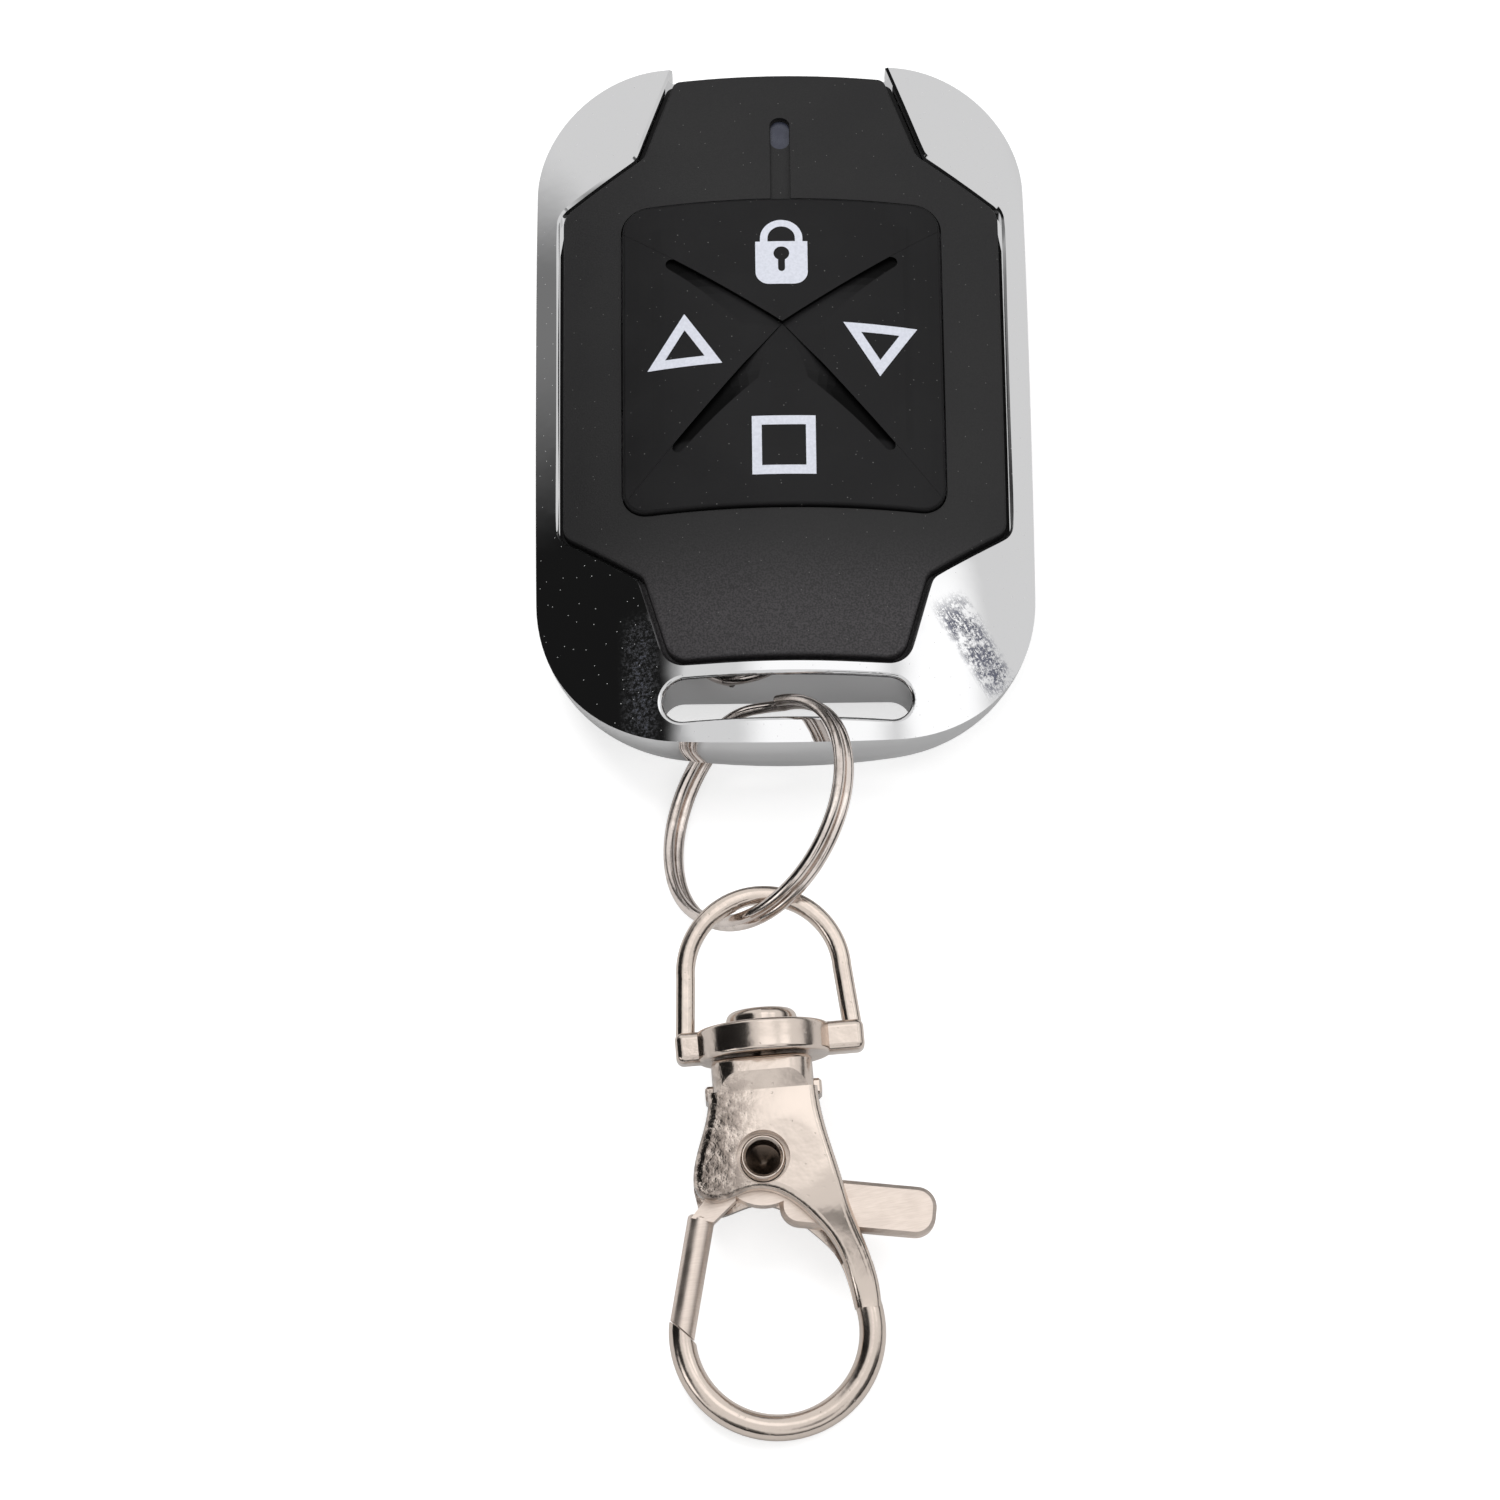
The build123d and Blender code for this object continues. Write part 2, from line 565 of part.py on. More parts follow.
def make_antenna():
    """Flat strip antenna: a bridge round the lamp end of the board with two feet."""
    width, height = ANTENNA_STRIP
    outer = Rectangle(2 * ANTENNA_HALF_WIDTH, ANTENNA_TOP_Y - ANTENNA_FOOT_Y)
    inner = Pos(0, -width) * Rectangle(2 * (ANTENNA_HALF_WIDTH - width), ANTENNA_TOP_Y - ANTENNA_FOOT_Y)
    plan = Pos(0, (ANTENNA_TOP_Y + ANTENNA_FOOT_Y) / 2) * (outer - inner)
    return prism(plan, board_top, board_top + height)


def on_board(size, x, y):
    """A small block that stands on the board."""
    return Pos(x, y, board_top) * Box(*size, align=BASE)


def make_lens():
    """Lamp lens: an oval light guide with a flange under the front cover's roof."""
    turn = Rot(0, 0, 90)
    guide = Pos(0, LAMP_Y) * turn * SlotOverall(LAMP_LENGTH - 2 * LENS_FIT, LAMP_WIDTH - 2 * LENS_FIT)
    flange = Pos(0, LAMP_Y) * turn * SlotOverall(LAMP_LENGTH + 2 * LENS_FLANGE, LAMP_WIDTH + 2 * LENS_FLANGE)
    lens = prism(guide, LENS_BOTTOM, HIGH) & crowned(cover_top - CHANNEL_DEPTH - LENS_SINK)
    return lens + prism(flange, LENS_FLANGE_TOP - LENS_FLANGE_THICKNESS, LENS_FLANGE_TOP)


def make_cell():
    """Coin cell: a can with a narrower cap on the side that faces the board."""
    can = Pos(*CELL_PLACE, cell_bottom) * Cylinder(CELL_RADIUS, CELL_THICKNESS - CELL_CAP_HEIGHT, align=BASE)
    can = fillet(can.edges().filter_by(GeomType.CIRCLE), CELL_CAP_HEIGHT)
    cap = Cylinder(CELL_CAP_RADIUS, 2 * CELL_CAP_HEIGHT, align=BASE)
    return can + Pos(*CELL_PLACE, cell_top - 2 * CELL_CAP_HEIGHT) * cap


def make_cap_contact():
    """Contact strip under the board with a dimple on the cell's cap."""
    x, y = CELL_PLACE
    strip = Pos(x, y, BOARD_BOTTOM - CONTACT_THICKNESS) * Box(
        CONTACT_LENGTH, CONTACT_WIDTH, CONTACT_THICKNESS, align=BASE
    )
    depth = BOARD_BOTTOM - cell_top
    dimple = Pos(x, y, cell_top) * Cone(CONTACT_DIMPLE_RADIUS / 2, CONTACT_DIMPLE_RADIUS, depth, align=BASE)
    return strip + dimple


def make_side_contact():
    """Contact that hangs from the board and presses on the side of the cell."""
    x, y = CELL_PLACE
    inner = x + CELL_RADIUS
    corner = (Align.MIN, Align.CENTER, Align.MAX)
    leg = Box(CONTACT_THICKNESS, CONTACT_WIDTH, SIDE_CONTACT_DROP, align=corner)
    foot = Box(CONTACT_LENGTH / 2, CONTACT_WIDTH, CONTACT_THICKNESS, align=corner)
    return Pos(inner, y, BOARD_BOTTOM) * (leg + foot)


def make_screw(x, y):
    """One screw, driven from the back."""
    head = Pos(x, y, SCREW_HEAD_SINK) * Cylinder(SCREW_HEAD_RADIUS, SCREW_HEAD_HEIGHT, align=BASE)
    head = chamfer(head.edges().sort_by(Axis.Z)[0], SCREW_HEAD_HEIGHT / 3)
    shank = Pos(x, y, screw_seat) * Cylinder(SCREW_RADIUS, SCREW_LENGTH, align=BASE)
    point = shank.edges().sort_by(Axis.Z)[-1]
    shank = chamfer(point, SCREW_RADIUS / 2)
    bar = Box(SCREW_CROSS_LENGTH, SCREW_CROSS_WIDTH, 2 * SCREW_CROSS_DEPTH)
    cross = Pos(x, y, SCREW_HEAD_SINK) * (bar + Rot(0, 0, 90) * bar)
    return head + shank - cross


# Axes of the split ring: across the slot, down to the clasp, and square to its plane
ring_across = Vector(cos(radians(RING_TILT)), 0, sin(radians(RING_TILT)))
ring_down = Vector(0, -cos(radians(RING_RISE)), sin(radians(RING_RISE)))
ring_normal = ring_across.cross(ring_down).normalized()
ring_centre = Vector(*RING_TOP) + ring_down * RING_RADIUS
ring_half_pitch = (RING_WIRE + RING_TURN_GAP) / 2


def ring_point(angle, radius, side):
    """Point of the ring's centre line: angle from the top of the ring, and which side of its plane."""
    a = radians(angle)
    return ring_centre + (ring_across * sin(a) - ring_down * cos(a)) * radius + ring_normal * side


def turn_gap(path, wire):
    """Least gap between the turns of a wound wire, measured on points along its centre line."""
    count = 240
    points = [path @ (i / count) for i in range(count + 1)]
    apart = int(count * TURNS_APART)
    gaps = [(points[i] - points[j]).length for i in range(count + 1) for j in range(i + apart, count + 1)]
    return min(gaps) - wire


def make_ring():
    """Split ring: one wire of two turns side by side, joined by a step between its two cut ends."""
    step = RING_STEP_HALF_ANGLE
    start = step + RING_END_ANGLE
    edges = []

    def add_turn(first, last, side):
        middle = (first + last) / 2
        for low, high in ((first, middle), (middle, last)):
            points = [ring_point(angle, RING_RADIUS, side) for angle in (low, (low + high) / 2, high)]
            edges.append(Edge.make_three_point_arc(*points))

    add_turn(start, 360 - step, -ring_half_pitch)
    middle_radius = sqrt(RING_RADIUS**2 + ring_half_pitch**2)
    before = ring_point(-step, RING_RADIUS, -ring_half_pitch)
    middle = ring_point(0, middle_radius, 0)
    after = ring_point(step, RING_RADIUS, ring_half_pitch)
    before_along = ring_across * cos(radians(step)) - ring_down * sin(radians(step))
    edges.append(Edge.make_tangent_arc(before, before_along, middle))
    edges.append(Edge.make_tangent_arc(middle, edges[-1] % 1, after))
    add_turn(step, 360 - start, ring_half_pitch)
    path = Wire(edges)
    print("split ring, least gap between its turns", round(turn_gap(path, RING_WIRE), 3))
    return sweep(Plane(path @ 0, z_dir=path % 0) * Circle(RING_WIRE / 2), path=path)


# Axes of the clasp: it hangs in the ring and its hook's far end lies on the ground
ring_low = ring_point(180, RING_RADIUS, 0)
bail_reach = BAIL_WIRE / 2 + RING_WIRE / 2 + BAIL_HANG_GAP
bail_top = ring_low + Vector(0, bail_reach, 0)
hook_far_v = HOOK_CENTRE_V - HOOK_RADIUS
clasp_drop = bail_top.Z - HOOK_ROD / 2 - FLOOR_PLAY
clasp_slope = asin(clasp_drop / (BAIL_TOP_V - hook_far_v))
lean = radians(CLASP_LEAN)
clasp_normal = Vector(0, -sin(clasp_slope), cos(clasp_slope))
clasp_up = Vector(-sin(lean), cos(lean) * cos(clasp_slope), cos(lean) * sin(clasp_slope))
clasp_across = clasp_up.cross(clasp_normal)
clasp_origin = bail_top - clasp_across * BAIL_SHIFT - clasp_up * BAIL_TOP_V
clasp_plane = Plane(origin=clasp_origin, x_dir=clasp_across, z_dir=clasp_normal)
swivel_plane = Plane(origin=(SWIVEL_U, 0, 0), x_dir=(0, 0, 1), z_dir=(0, 1, 0))
collar_plane = Plane(origin=(COLLAR_U, 0, 0), x_dir=(0, 0, 1), z_dir=(0, 1, 0))


def disc(plane, radius, bottom, height):
    """A round disc along a plane's normal."""
    return plane * Pos(0, 0, bottom) * Cylinder(radius, height, align=BASE)


def make_bail():
    """Bail: a splayed arch of wire on a crossbar whose hub turns on the swivel rivet."""
    arch_v = BAIL_TOP_V - BAIL_HALF_WIDTH
    foot = BAIL_HALF_WIDTH + BAIL_SPLAY
    left = Line((-foot, BAIL_FOOT_V), (-BAIL_HALF_WIDTH, arch_v))
    arch = ThreePointArc((-BAIL_HALF_WIDTH, arch_v), (0, BAIL_TOP_V), (BAIL_HALF_WIDTH, arch_v))
    right = Line((BAIL_HALF_WIDTH, arch_v), (foot, BAIL_FOOT_V))
    path = Wire(left.edges() + arch.edges() + right.edges())
    start = Plane(path @ 0, x_dir=(0, 0, 1), z_dir=path % 0)
    section = start * RectangleRounded(BAIL_DEPTH, BAIL_WIRE, BAIL_EDGE)
    bail = Pos(BAIL_SHIFT, 0) * sweep(section, path=path, transition=Transition.RIGHT)
    foot_width = 2 * foot + BAIL_WIRE
    bar = Pos(BAIL_SHIFT, HUB_BOTTOM_V + HUB_LENGTH / 2) * Box(foot_width, HUB_LENGTH, CROSSBAR_DEPTH)
    bar = fillet(bar.edges(), BAIL_EDGE)
    hub = disc(swivel_plane, HUB_RADIUS, HUB_BOTTOM_V, HUB_LENGTH)
    hub = fillet(hub.edges().filter_by(GeomType.CIRCLE), HUB_EDGE)
    return bail + bar + hub - disc(swivel_plane, SWIVEL_RADIUS + SWIVEL_FIT, 0, THROUGH)


def make_swivel_rivet():
    """Rivet that the bail turns on: a domed head, and a shank pressed into the collar."""
    head_v = HUB_BOTTOM_V + HUB_LENGTH + SWIVEL_GAP
    head = disc(swivel_plane, SWIVEL_HEAD_RADIUS, head_v, SWIVEL_HEAD_HEIGHT)
    rim = head.edges().filter_by(GeomType.CIRCLE).sort_by(Axis.Y)[-1]
    head = fillet(rim, SWIVEL_HEAD_HEIGHT * SWIVEL_HEAD_ROUNDING)
    bottom = COLLAR_TOP_V - SWIVEL_SEAT
    return head + disc(swivel_plane, SWIVEL_RADIUS, bottom, head_v - bottom + SWIVEL_HEAD_HEIGHT / 2)


def clasp_outline(arch_drop):
    """Outline of the clasp's cast body from collar to hook, its arch lowered by a given amount."""
    top = COLLAR_TOP_V - COLLAR_LENGTH
    left = Spline((-3.9, top), (-4.6, 2.2), (-5.3, 0.2), (-5.6, -1.7))
    arch = Spline(
        (-5.35, -2.4 - arch_drop),
        (-4.2, -3.1 - arch_drop),
        (-1.1, -2.45 - arch_drop),
        (1.0, -2.85 - arch_drop),
        (3.2, -4.7 - arch_drop),
        (5.0, -7.2 - arch_drop / 2),
        (5.9, -10.0 - arch_drop / 2),
        (6.2, -12.2),
    )
    right = Spline((8.25, -12.2), (7.5, -7.4), (6.6, -4.7), (5.9, -1.6), (5.1, 1.9), (4.7, top))
    top_line = Line(right @ 1, left @ 0)
    side_line = Line(left @ 1, arch @ 0)
    end_line = Line(arch @ 1, right @ 0)
    return make_face([side.edge() for side in (left, side_line, arch, end_line, right, top_line)])


def hook_point(angle):
    """Point of the hook's centre line in the clasp's plane."""
    a = radians(angle)
    return (HOOK_RADIUS * cos(a), HOOK_CENTRE_V + HOOK_RADIUS * sin(a), 0)


def cut_side(gap, size):
    """Block on the far side of the slanting cut between nose and gate, moved by a gap."""
    return Pos(*CUT_POINT) * Rot(0, 0, CUT_ANGLE) * Pos(0, gap + size / 2) * Box(size, size, size)


def across_clasp(outline):
    """A shape drawn in the plane of the clasp's depth and length, raised to both sides."""
    plane = Plane(origin=(0, 0, 0), x_dir=(0, 0, 1), z_dir=(-1, 0, 0))
    return extrude(plane * make_face(outline), THROUGH / 2, both=True)


def clasp_depth():
    """The clasp's side view: full thickness to below the rivet, then a smooth taper to the hook's rod."""
    half, rod = CLASP_HALF_THICKNESS, HOOK_ROD / 2
    downwards = ((0, -1), (0, -1))
    front = Spline((half, CLASP_TAPER_V), (rod, SPINE_END_V), tangents=downwards)
    back = Spline((-half, CLASP_TAPER_V), (-rod, SPINE_END_V), tangents=downwards)
    end = Line((rod, SPINE_END_V), (-rod, SPINE_END_V))
    rest = Polyline((-half, CLASP_TAPER_V), (-half, HIGH), (half, HIGH), (half, CLASP_TAPER_V))
    return across_clasp([*front.edges(), *end.edges(), *back.edges(), *rest.edges()])


def make_collar():
    """The clasp's collar: a rounded block with sloping undersides, on a wider plate at the back."""
    half, bottom = CLASP_HALF_THICKNESS, COLLAR_TOP_V - COLLAR_LENGTH
    plan = RectangleRounded(2 * COLLAR_HALF_DEPTH, 2 * COLLAR_HALF_WIDTH, COLLAR_CORNER)
    collar = extrude(collar_plane * Pos(0, 0, bottom) * plan, COLLAR_LENGTH)
    collar = fillet(collar.faces().sort_by(Axis.Y)[-1].edges(), CAST_CHAMFER)
    rise = COLLAR_SLOPE_TOP_V - bottom
    out = COLLAR_HALF_DEPTH - half
    for side in (-1, 1):
        slope = Polyline(
            (side * half, bottom),
            (side * (half + 2 * out), bottom + 2 * rise),
            (side * (half + 2 * out), bottom - rise),
            (side * half, bottom - rise),
            close=True,
        )
        collar -= across_clasp(slope)
    ears = Pos(COLLAR_U, bottom - CAST_CHAMFER, -half) * Box(
        EAR_WIDTH, EAR_TOP_V - bottom, half + EAR_FRONT, align=(Align.CENTER, Align.MIN, Align.MIN)
    )
    return collar + chamfer(ears.edges(), CAST_CHAMFER / 2)


def make_clasp_body():
    """Cast clasp: a collar, two walls joined above and below a slot, and a round hook."""
    half, rod = CLASP_HALF_THICKNESS, HOOK_ROD / 2
    rear = extrude(clasp_outline(REAR_ARCH_DROP), -half)
    front = extrude(clasp_outline(0), half)
    body = (front + rear) & clasp_depth()
    body = fillet(long_rims(body), CAST_ROUNDING)
    slot_length = CLASP_SLOT_TOP_V - CLASP_SLOT_END_V
    body -= Pos(0, CLASP_SLOT_END_V, 0) * Box(THROUGH, slot_length, CLASP_SLOT, align=MIDDLE_UP)
    angles = (HOOK_SPINE_ANGLE, (HOOK_SPINE_ANGLE + HOOK_NOSE_ANGLE) / 2, HOOK_NOSE_ANGLE)
    arc = Edge.make_three_point_arc(*[hook_point(angle) for angle in angles])
    hook = sweep(Plane(arc @ 0, z_dir=arc % 0) * Circle(rod), path=Wire([arc]))
    body += make_collar() + (hook - cut_side(0, 4 * HOOK_ROD))
    body -= disc(swivel_plane, SWIVEL_RADIUS, COLLAR_TOP_V - SWIVEL_SEAT, THROUGH)
    body -= Pos(0, 0, -THROUGH / 2) * Cylinder(RIVET_RADIUS + RIVET_FIT, THROUGH)
    return body - Cylinder(RIVET_FRONT_HOLE_RADIUS, THROUGH, align=BASE)


def long_rims(body):
    """The edges along the outline of the clasp's front and back, without those across it."""
    found = []
    for edge in body.edges():
        middle = edge @ 0.5
        runs_along = abs((edge @ 0).Y - (edge @ 1).Y) > 0.5
        if runs_along and abs(middle.Z) > HOOK_ROD / 2 and middle.Y > SPINE_END_V:
            found.append(edge)
    return found


def make_trigger():
    """Trigger: a hub on its rivet with a spring pocket, a thumb tab and a round gate arm."""
    half = LEVER_THICKNESS / 2
    gate_plane = Plane((*GATE_TOP, 0), z_dir=(*GATE_DIRECTION, 0))
    gate = gate_plane * Cylinder(GATE_RADIUS, GATE_LENGTH, align=BASE)
    gate = fillet(gate.edges().filter_by(GeomType.CIRCLE).sort_by(Axis.Y)[-1], GATE_RADIUS / 3)
    gate &= cut_side(CUT_GAP, THROUGH)
    along = Vector(TAB_END_U - TAB_ROOT_U, TAB_END_V - TAB_ROOT_V)
    turn = Rot(0, 0, degrees(atan2(along.Y, along.X)))
    plan = RectangleRounded(along.length + TAB_WIDTH, TAB_WIDTH, TAB_CORNER)
    tab = prism(Pos(TAB_ROOT_U, TAB_ROOT_V) * turn * Pos(along.length / 2, 0) * plan, -half, half)
    tab = chamfer(tab.edges().filter_by(lambda e: abs(abs(e.center().Z) - half) < NEAR), LEVER_CHAMFER)
    web = prism(make_face(Polyline(*LEVER_WEB, close=True)), -half, half)
    lever = prism(Circle(LEVER_HUB_RADIUS), -half, half) + tab + web + gate
    lever -= Cylinder(RIVET_RADIUS + LEVER_FIT, THROUGH)
    pocket = Circle(SPRING_RADIUS + SPRING_WIRE / 2 + SPRING_POCKET_FIT)
    low, high = (radians(angle) for angle in SPRING_LEG_ANGLES)
    far = 2 * LEVER_HUB_RADIUS
    notch = Polyline((0, 0), (far * cos(low), far * sin(low)), (far * cos(high), far * sin(high)), close=True)
    return lever - extrude(Pos(0, 0, -half) * (pocket + make_face(notch)), pocket_depth)


def make_trigger_rivet():
    """Semi-tubular rivet of the trigger: solid at the back, a flared tube at the front."""
    half = CLASP_HALF_THICKNESS
    rivet = Cylinder(RIVET_RADIUS, 2 * half)
    rivet = chamfer(rivet.edges().filter_by(GeomType.CIRCLE), RIVET_EDGE)
    bore = Pos(0, 0, half - RIVET_BORE_DEPTH) * Cylinder(RIVET_BORE_RADIUS, THROUGH, align=BASE)
    point_depth = RIVET_BORE_RADIUS / tan(radians(DRILL_POINT_ANGLE / 2))
    point = Cone(0, RIVET_BORE_RADIUS, point_depth, align=(Align.CENTER, Align.CENTER, Align.MAX))
    rivet -= bore + Pos(0, 0, half - RIVET_BORE_DEPTH) * point
    mouth_radius = RIVET_BORE_RADIUS + RIVET_LIP
    mouth = Cone(RIVET_BORE_RADIUS, mouth_radius, RIVET_LIP, align=(Align.CENTER, Align.CENTER, Align.MAX))
    return rivet - Pos(0, 0, half) * mouth


def make_spring():
    """Torsion spring in the trigger's pocket: one wire of a few turns with a leg up to the slot's end."""
    bottom = -LEVER_THICKNESS / 2 + SPRING_WIRE / 2
    coil = Helix(SPRING_PITCH, SPRING_PITCH * SPRING_TURNS, SPRING_RADIUS)
    leg = Line(coil @ 1, (coil @ 1) + (coil % 1) * (CLASP_SLOT_TOP_V - SPRING_WIRE))
    path = Wire(coil.edges() + leg.edges())
    spring = sweep(Plane(path @ 0, z_dir=path % 0) * Circle(SPRING_WIRE / 2), path=path)
    return Pos(0, 0, bottom) * spring


def write(name, shape):
    """Write one named piece."""
    shape.label = name
    export_step(shape, f"parts/{name}.step")


def make_all():
    """Every named piece of the object."""
    pieces = {
        "chrome_frame": make_frame(),
        "front_cover": make_front_cover(),
        "rear_cover": make_rear_cover(),
        "keypad_mat": make_mat(),
        "circuit_board": make_board(),
        "antenna_strip": make_antenna(),
        "processor": on_board(PROCESSOR, *PROCESSOR_PLACE),
        "resonator": on_board(RESONATOR, *RESONATOR_PLACE),
        "board_chips": Compound([on_board(CHIP, x, y) for x, y in CHIP_PLACES]),
        "indicator_lamp": on_board(LAMP_CHIP, 0, LAMP_Y),
        "indicator_lens": make_lens(),
        "battery_cell": make_cell(),
        "cap_contact": make_cap_contact(),
        "side_contact": make_side_contact(),
        "housing_screws": Compound([make_screw(x, y) for x, y in SCREW_PLACES]),
        "split_ring": make_ring(),
        "swivel_bail": make_bail(),
        "swivel_rivet": make_swivel_rivet(),
        "clasp_body": make_clasp_body(),
        "trigger": make_trigger(),
        "trigger_rivet": make_trigger_rivet(),
        "trigger_spring": make_spring(),
    }
    for name, key in make_keys().items():
        pieces[f"key_{name}"] = key
        pieces[f"switch_{name}"] = make_switch(*keys[name])
        pieces[f"plunger_{name}"] = make_plunger(*keys[name])
    for name in ("swivel_bail", "swivel_rivet", "clasp_body", "trigger", "trigger_rivet", "trigger_spring"):
        pieces[name] = clasp_plane * pieces[name]
    return pieces


if __name__ == "__main__":
    os.makedirs("parts", exist_ok=True)
    for name, piece in make_all().items():
        write(name, piece)
        print(name, round(piece.volume, 3), piece.is_valid, len(piece.solids()))
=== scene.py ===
"""Looks of the remote key fob: materials, printed key signs, soft studio light and the camera."""
import math

import bmesh
import bpy
from mathutils import Matrix, Vector
from mathutils.bvhtree import BVHTree


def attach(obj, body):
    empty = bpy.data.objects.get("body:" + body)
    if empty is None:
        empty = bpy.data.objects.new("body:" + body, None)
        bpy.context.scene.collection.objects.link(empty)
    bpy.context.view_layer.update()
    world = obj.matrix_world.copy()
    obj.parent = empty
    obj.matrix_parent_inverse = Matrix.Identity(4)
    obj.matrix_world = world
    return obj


MM = 0.001

# Camera: a long lens, tilted down at the key ring end.
PHOTO_SIZE = 1500
SENSOR = 36.0
FOCAL_PIXELS = 6448
CAMERA_ELEVATION = math.radians(66.5)
CAMERA_ROLL = math.radians(-0.65)
CAMERA_DISTANCE = 520 * MM
CAMERA_TARGET = Vector((-3.05, -30.9, 5.9)) * MM
NEAREST_SEEN = 10 * MM
FURTHEST_SEEN = 100

# Printed signs on the keys, in millimetres.
INK_HEIGHT = 0.02
INK_DEPTH = 0.05
INK_CELL = 0.45
SIGN_STROKE = 0.8

# Colours, linear.
CHROME = (0.685, 0.685, 0.69)
SCRATCH_AND_REFLECTION_BLUE = (0.05, 0.056, 0.10)
BLUE_MOTTLE = (0.02, 0.08, 0.40)
CHROME_DUST = (0.55, 0.55, 0.55)
NICKEL = (0.72, 0.625, 0.555)
WORN_NICKEL = (0.34, 0.285, 0.25)
WIRE_NICKEL = (0.80, 0.72, 0.67)
DARK_NICKEL = (0.46, 0.395, 0.35)
BRUSHED_NICKEL = (0.88, 0.765, 0.685)
BRUSHED_SHADE = (0.80, 0.69, 0.61)
BORE_PAINTED_SHADE = (0.05, 0.045, 0.04)
BLACK_PLASTIC = (0.0165, 0.0162, 0.0168)
BLACK_SHADE = (0.0185, 0.0182, 0.0185)
WARM_SPECKLE_AND_SHEEN = (0.055, 0.051, 0.054)
COVER_DUST = (0.30, 0.30, 0.29)
KEY_BLACK = (0.0070, 0.0068, 0.0074)
KEY_HAZE = (0.0100, 0.0098, 0.0104)
KEY_DUST = (0.26, 0.26, 0.25)
GROOVE_PAINTED_SHADE = (0.002, 0.002, 0.002)
INK = (0.68, 0.70, 0.775)
INK_SHADE = (0.61, 0.63, 0.70)
LENS = (0.030, 0.033, 0.052)
LENS_SHADE = (0.040, 0.044, 0.064)
WHITE = (1, 1, 1, 1)

# Marks on the object. A band is its middle, its half width and its soft edge, in millimetres.
# The scratches by one corner, and the painted dark blue reflection that lies on them.
SCRATCH_AND_REFLECTION_HEADING = -57
SCRATCH_AND_REFLECTION_ALONG = (27.5, 2.7, 2.4)
SCRATCH_AND_REFLECTION_ACROSS = (0.5, 0.8, 1.1)
HAIR_HEADING = -40
# A bluish mottle at the lower left.
BLUE_MOTTLE_X = (-11.8, 0.1, 1.9)
BLUE_MOTTLE_Y = (-26.0, 3.0, 3.5)
# The area of the key grooves, where the painted shade on steep walls is full; elsewhere it is a quarter.
GROOVES_X = (0, 10.2, 0.8)
GROOVES_Y = (4.3, 9.6, 0.8)
# Between these, towards the ring end, the cover gains its speckle and painted sheen.
SPECKLE_AND_SHEEN_FROM_Y = -12
SPECKLE_AND_SHEEN_TO_Y = -22
LEVER_HEADING = 10

# Round areas on the clasp: a centre and a radius in millimetres.
WORN_AREA = ((-5, -66, 5), 12)
# Where the rivet's bore gets its painted shade.
BORE_SHADE_AREA = ((-2.4, -66.1, 6.0), 2.7)
DOMED_AREA = ((-0.8, -66.5, 8.5), 9.5)
WORN_FROM_X = -1.5
WORN_TO_X = -5.5

# Noise lies mostly between these values. A dot and a round area are full within these shares of their radius.
NOISE_LOW = 0.3
NOISE_HIGH = 0.7
DOT_CORE = 0.6
AREA_CORE = 0.3

# Studio: the floor's size in metres, its paint and glow, and how much of the glow mirrors see.
FLOOR_HALF = 0.35
FLOOR_PAINT = 0.60
FLOOR_MOTTLE = 1.03
FLOOR_LIFT = 0.66
GLOSSY_SHARE = 0.15

# The room that mirrors see: its level below and above the horizon, and round patches in it.
# A patch is a direction, an inner and an outer angle in degrees, and what it adds or leaves.
HORIZON = (0.16, 0.40)
ROOM_LEVEL = (0.06, 0.90)
BRIGHT_PATCHES = (((0.12, 0.16, 0.98), 10, 18, 0.50), ((0.56, 0.16, 0.80), 3, 12, 0.60))
DIM_PATCHES = (
    ((0.25, -0.62, 0.74), 5, 12, 0.25),
    ((0.80, -0.42, 0.36), 13, 22, 0.12),
    ((0.22, 0.93, 0.27), 12, 24, 0.20),
    ((-0.35, -0.90, 0.30), 10, 20, 0.15),
)
FLAG = ((-0.862, 0.0, 0.507), 33, 40)
FLAG_DEPTH = (0.32, 0.50)
FLAG_LEVEL = (0.012, 0.24)
SPARK = ((-0.80, -0.42, 0.40), 8, 14)
SPARK_LEVEL = 1.6

# Lamps: what they aim at, the angle of their light, and for each a name, place, size and power in watts.
LAMP_TARGET = (0, -30, 0)
LAMP_SPREAD = math.radians(120)
LAMPS = (("key_light", (-260, 420, 620), 380, 1.2), ("fill_light", (520, 120, 480), 300, 0.3))

# The plane of the clasp at rest, and the part of the bail's arch that its CAD solid leaves open: sizes in
# millimetres, angles in degrees, and the wear at its middle as a share of half its width.
CLASP_ORIGIN = Vector((-2.3845, -65.9307, 5.3583))
CLASP_ACROSS = Vector((0.99744, 0.06998, 0.01466))
CLASP_ALONG = Vector((-0.0715, 0.97624, 0.20455))
ARCH_CENTRE = (1.3, 14.95)
ARCH_RADIUS = 6.2
ARCH_WIDTH = 1.52
ARCH_DEPTH = 1.72
ARCH_CORNER = 0.61
ARCH_WEAR = 0.14
ARCH_FROM = 76
ARCH_TO = 114
ARCH_STEP = 2


def is_socket(value):
    return isinstance(value, bpy.types.NodeSocket)


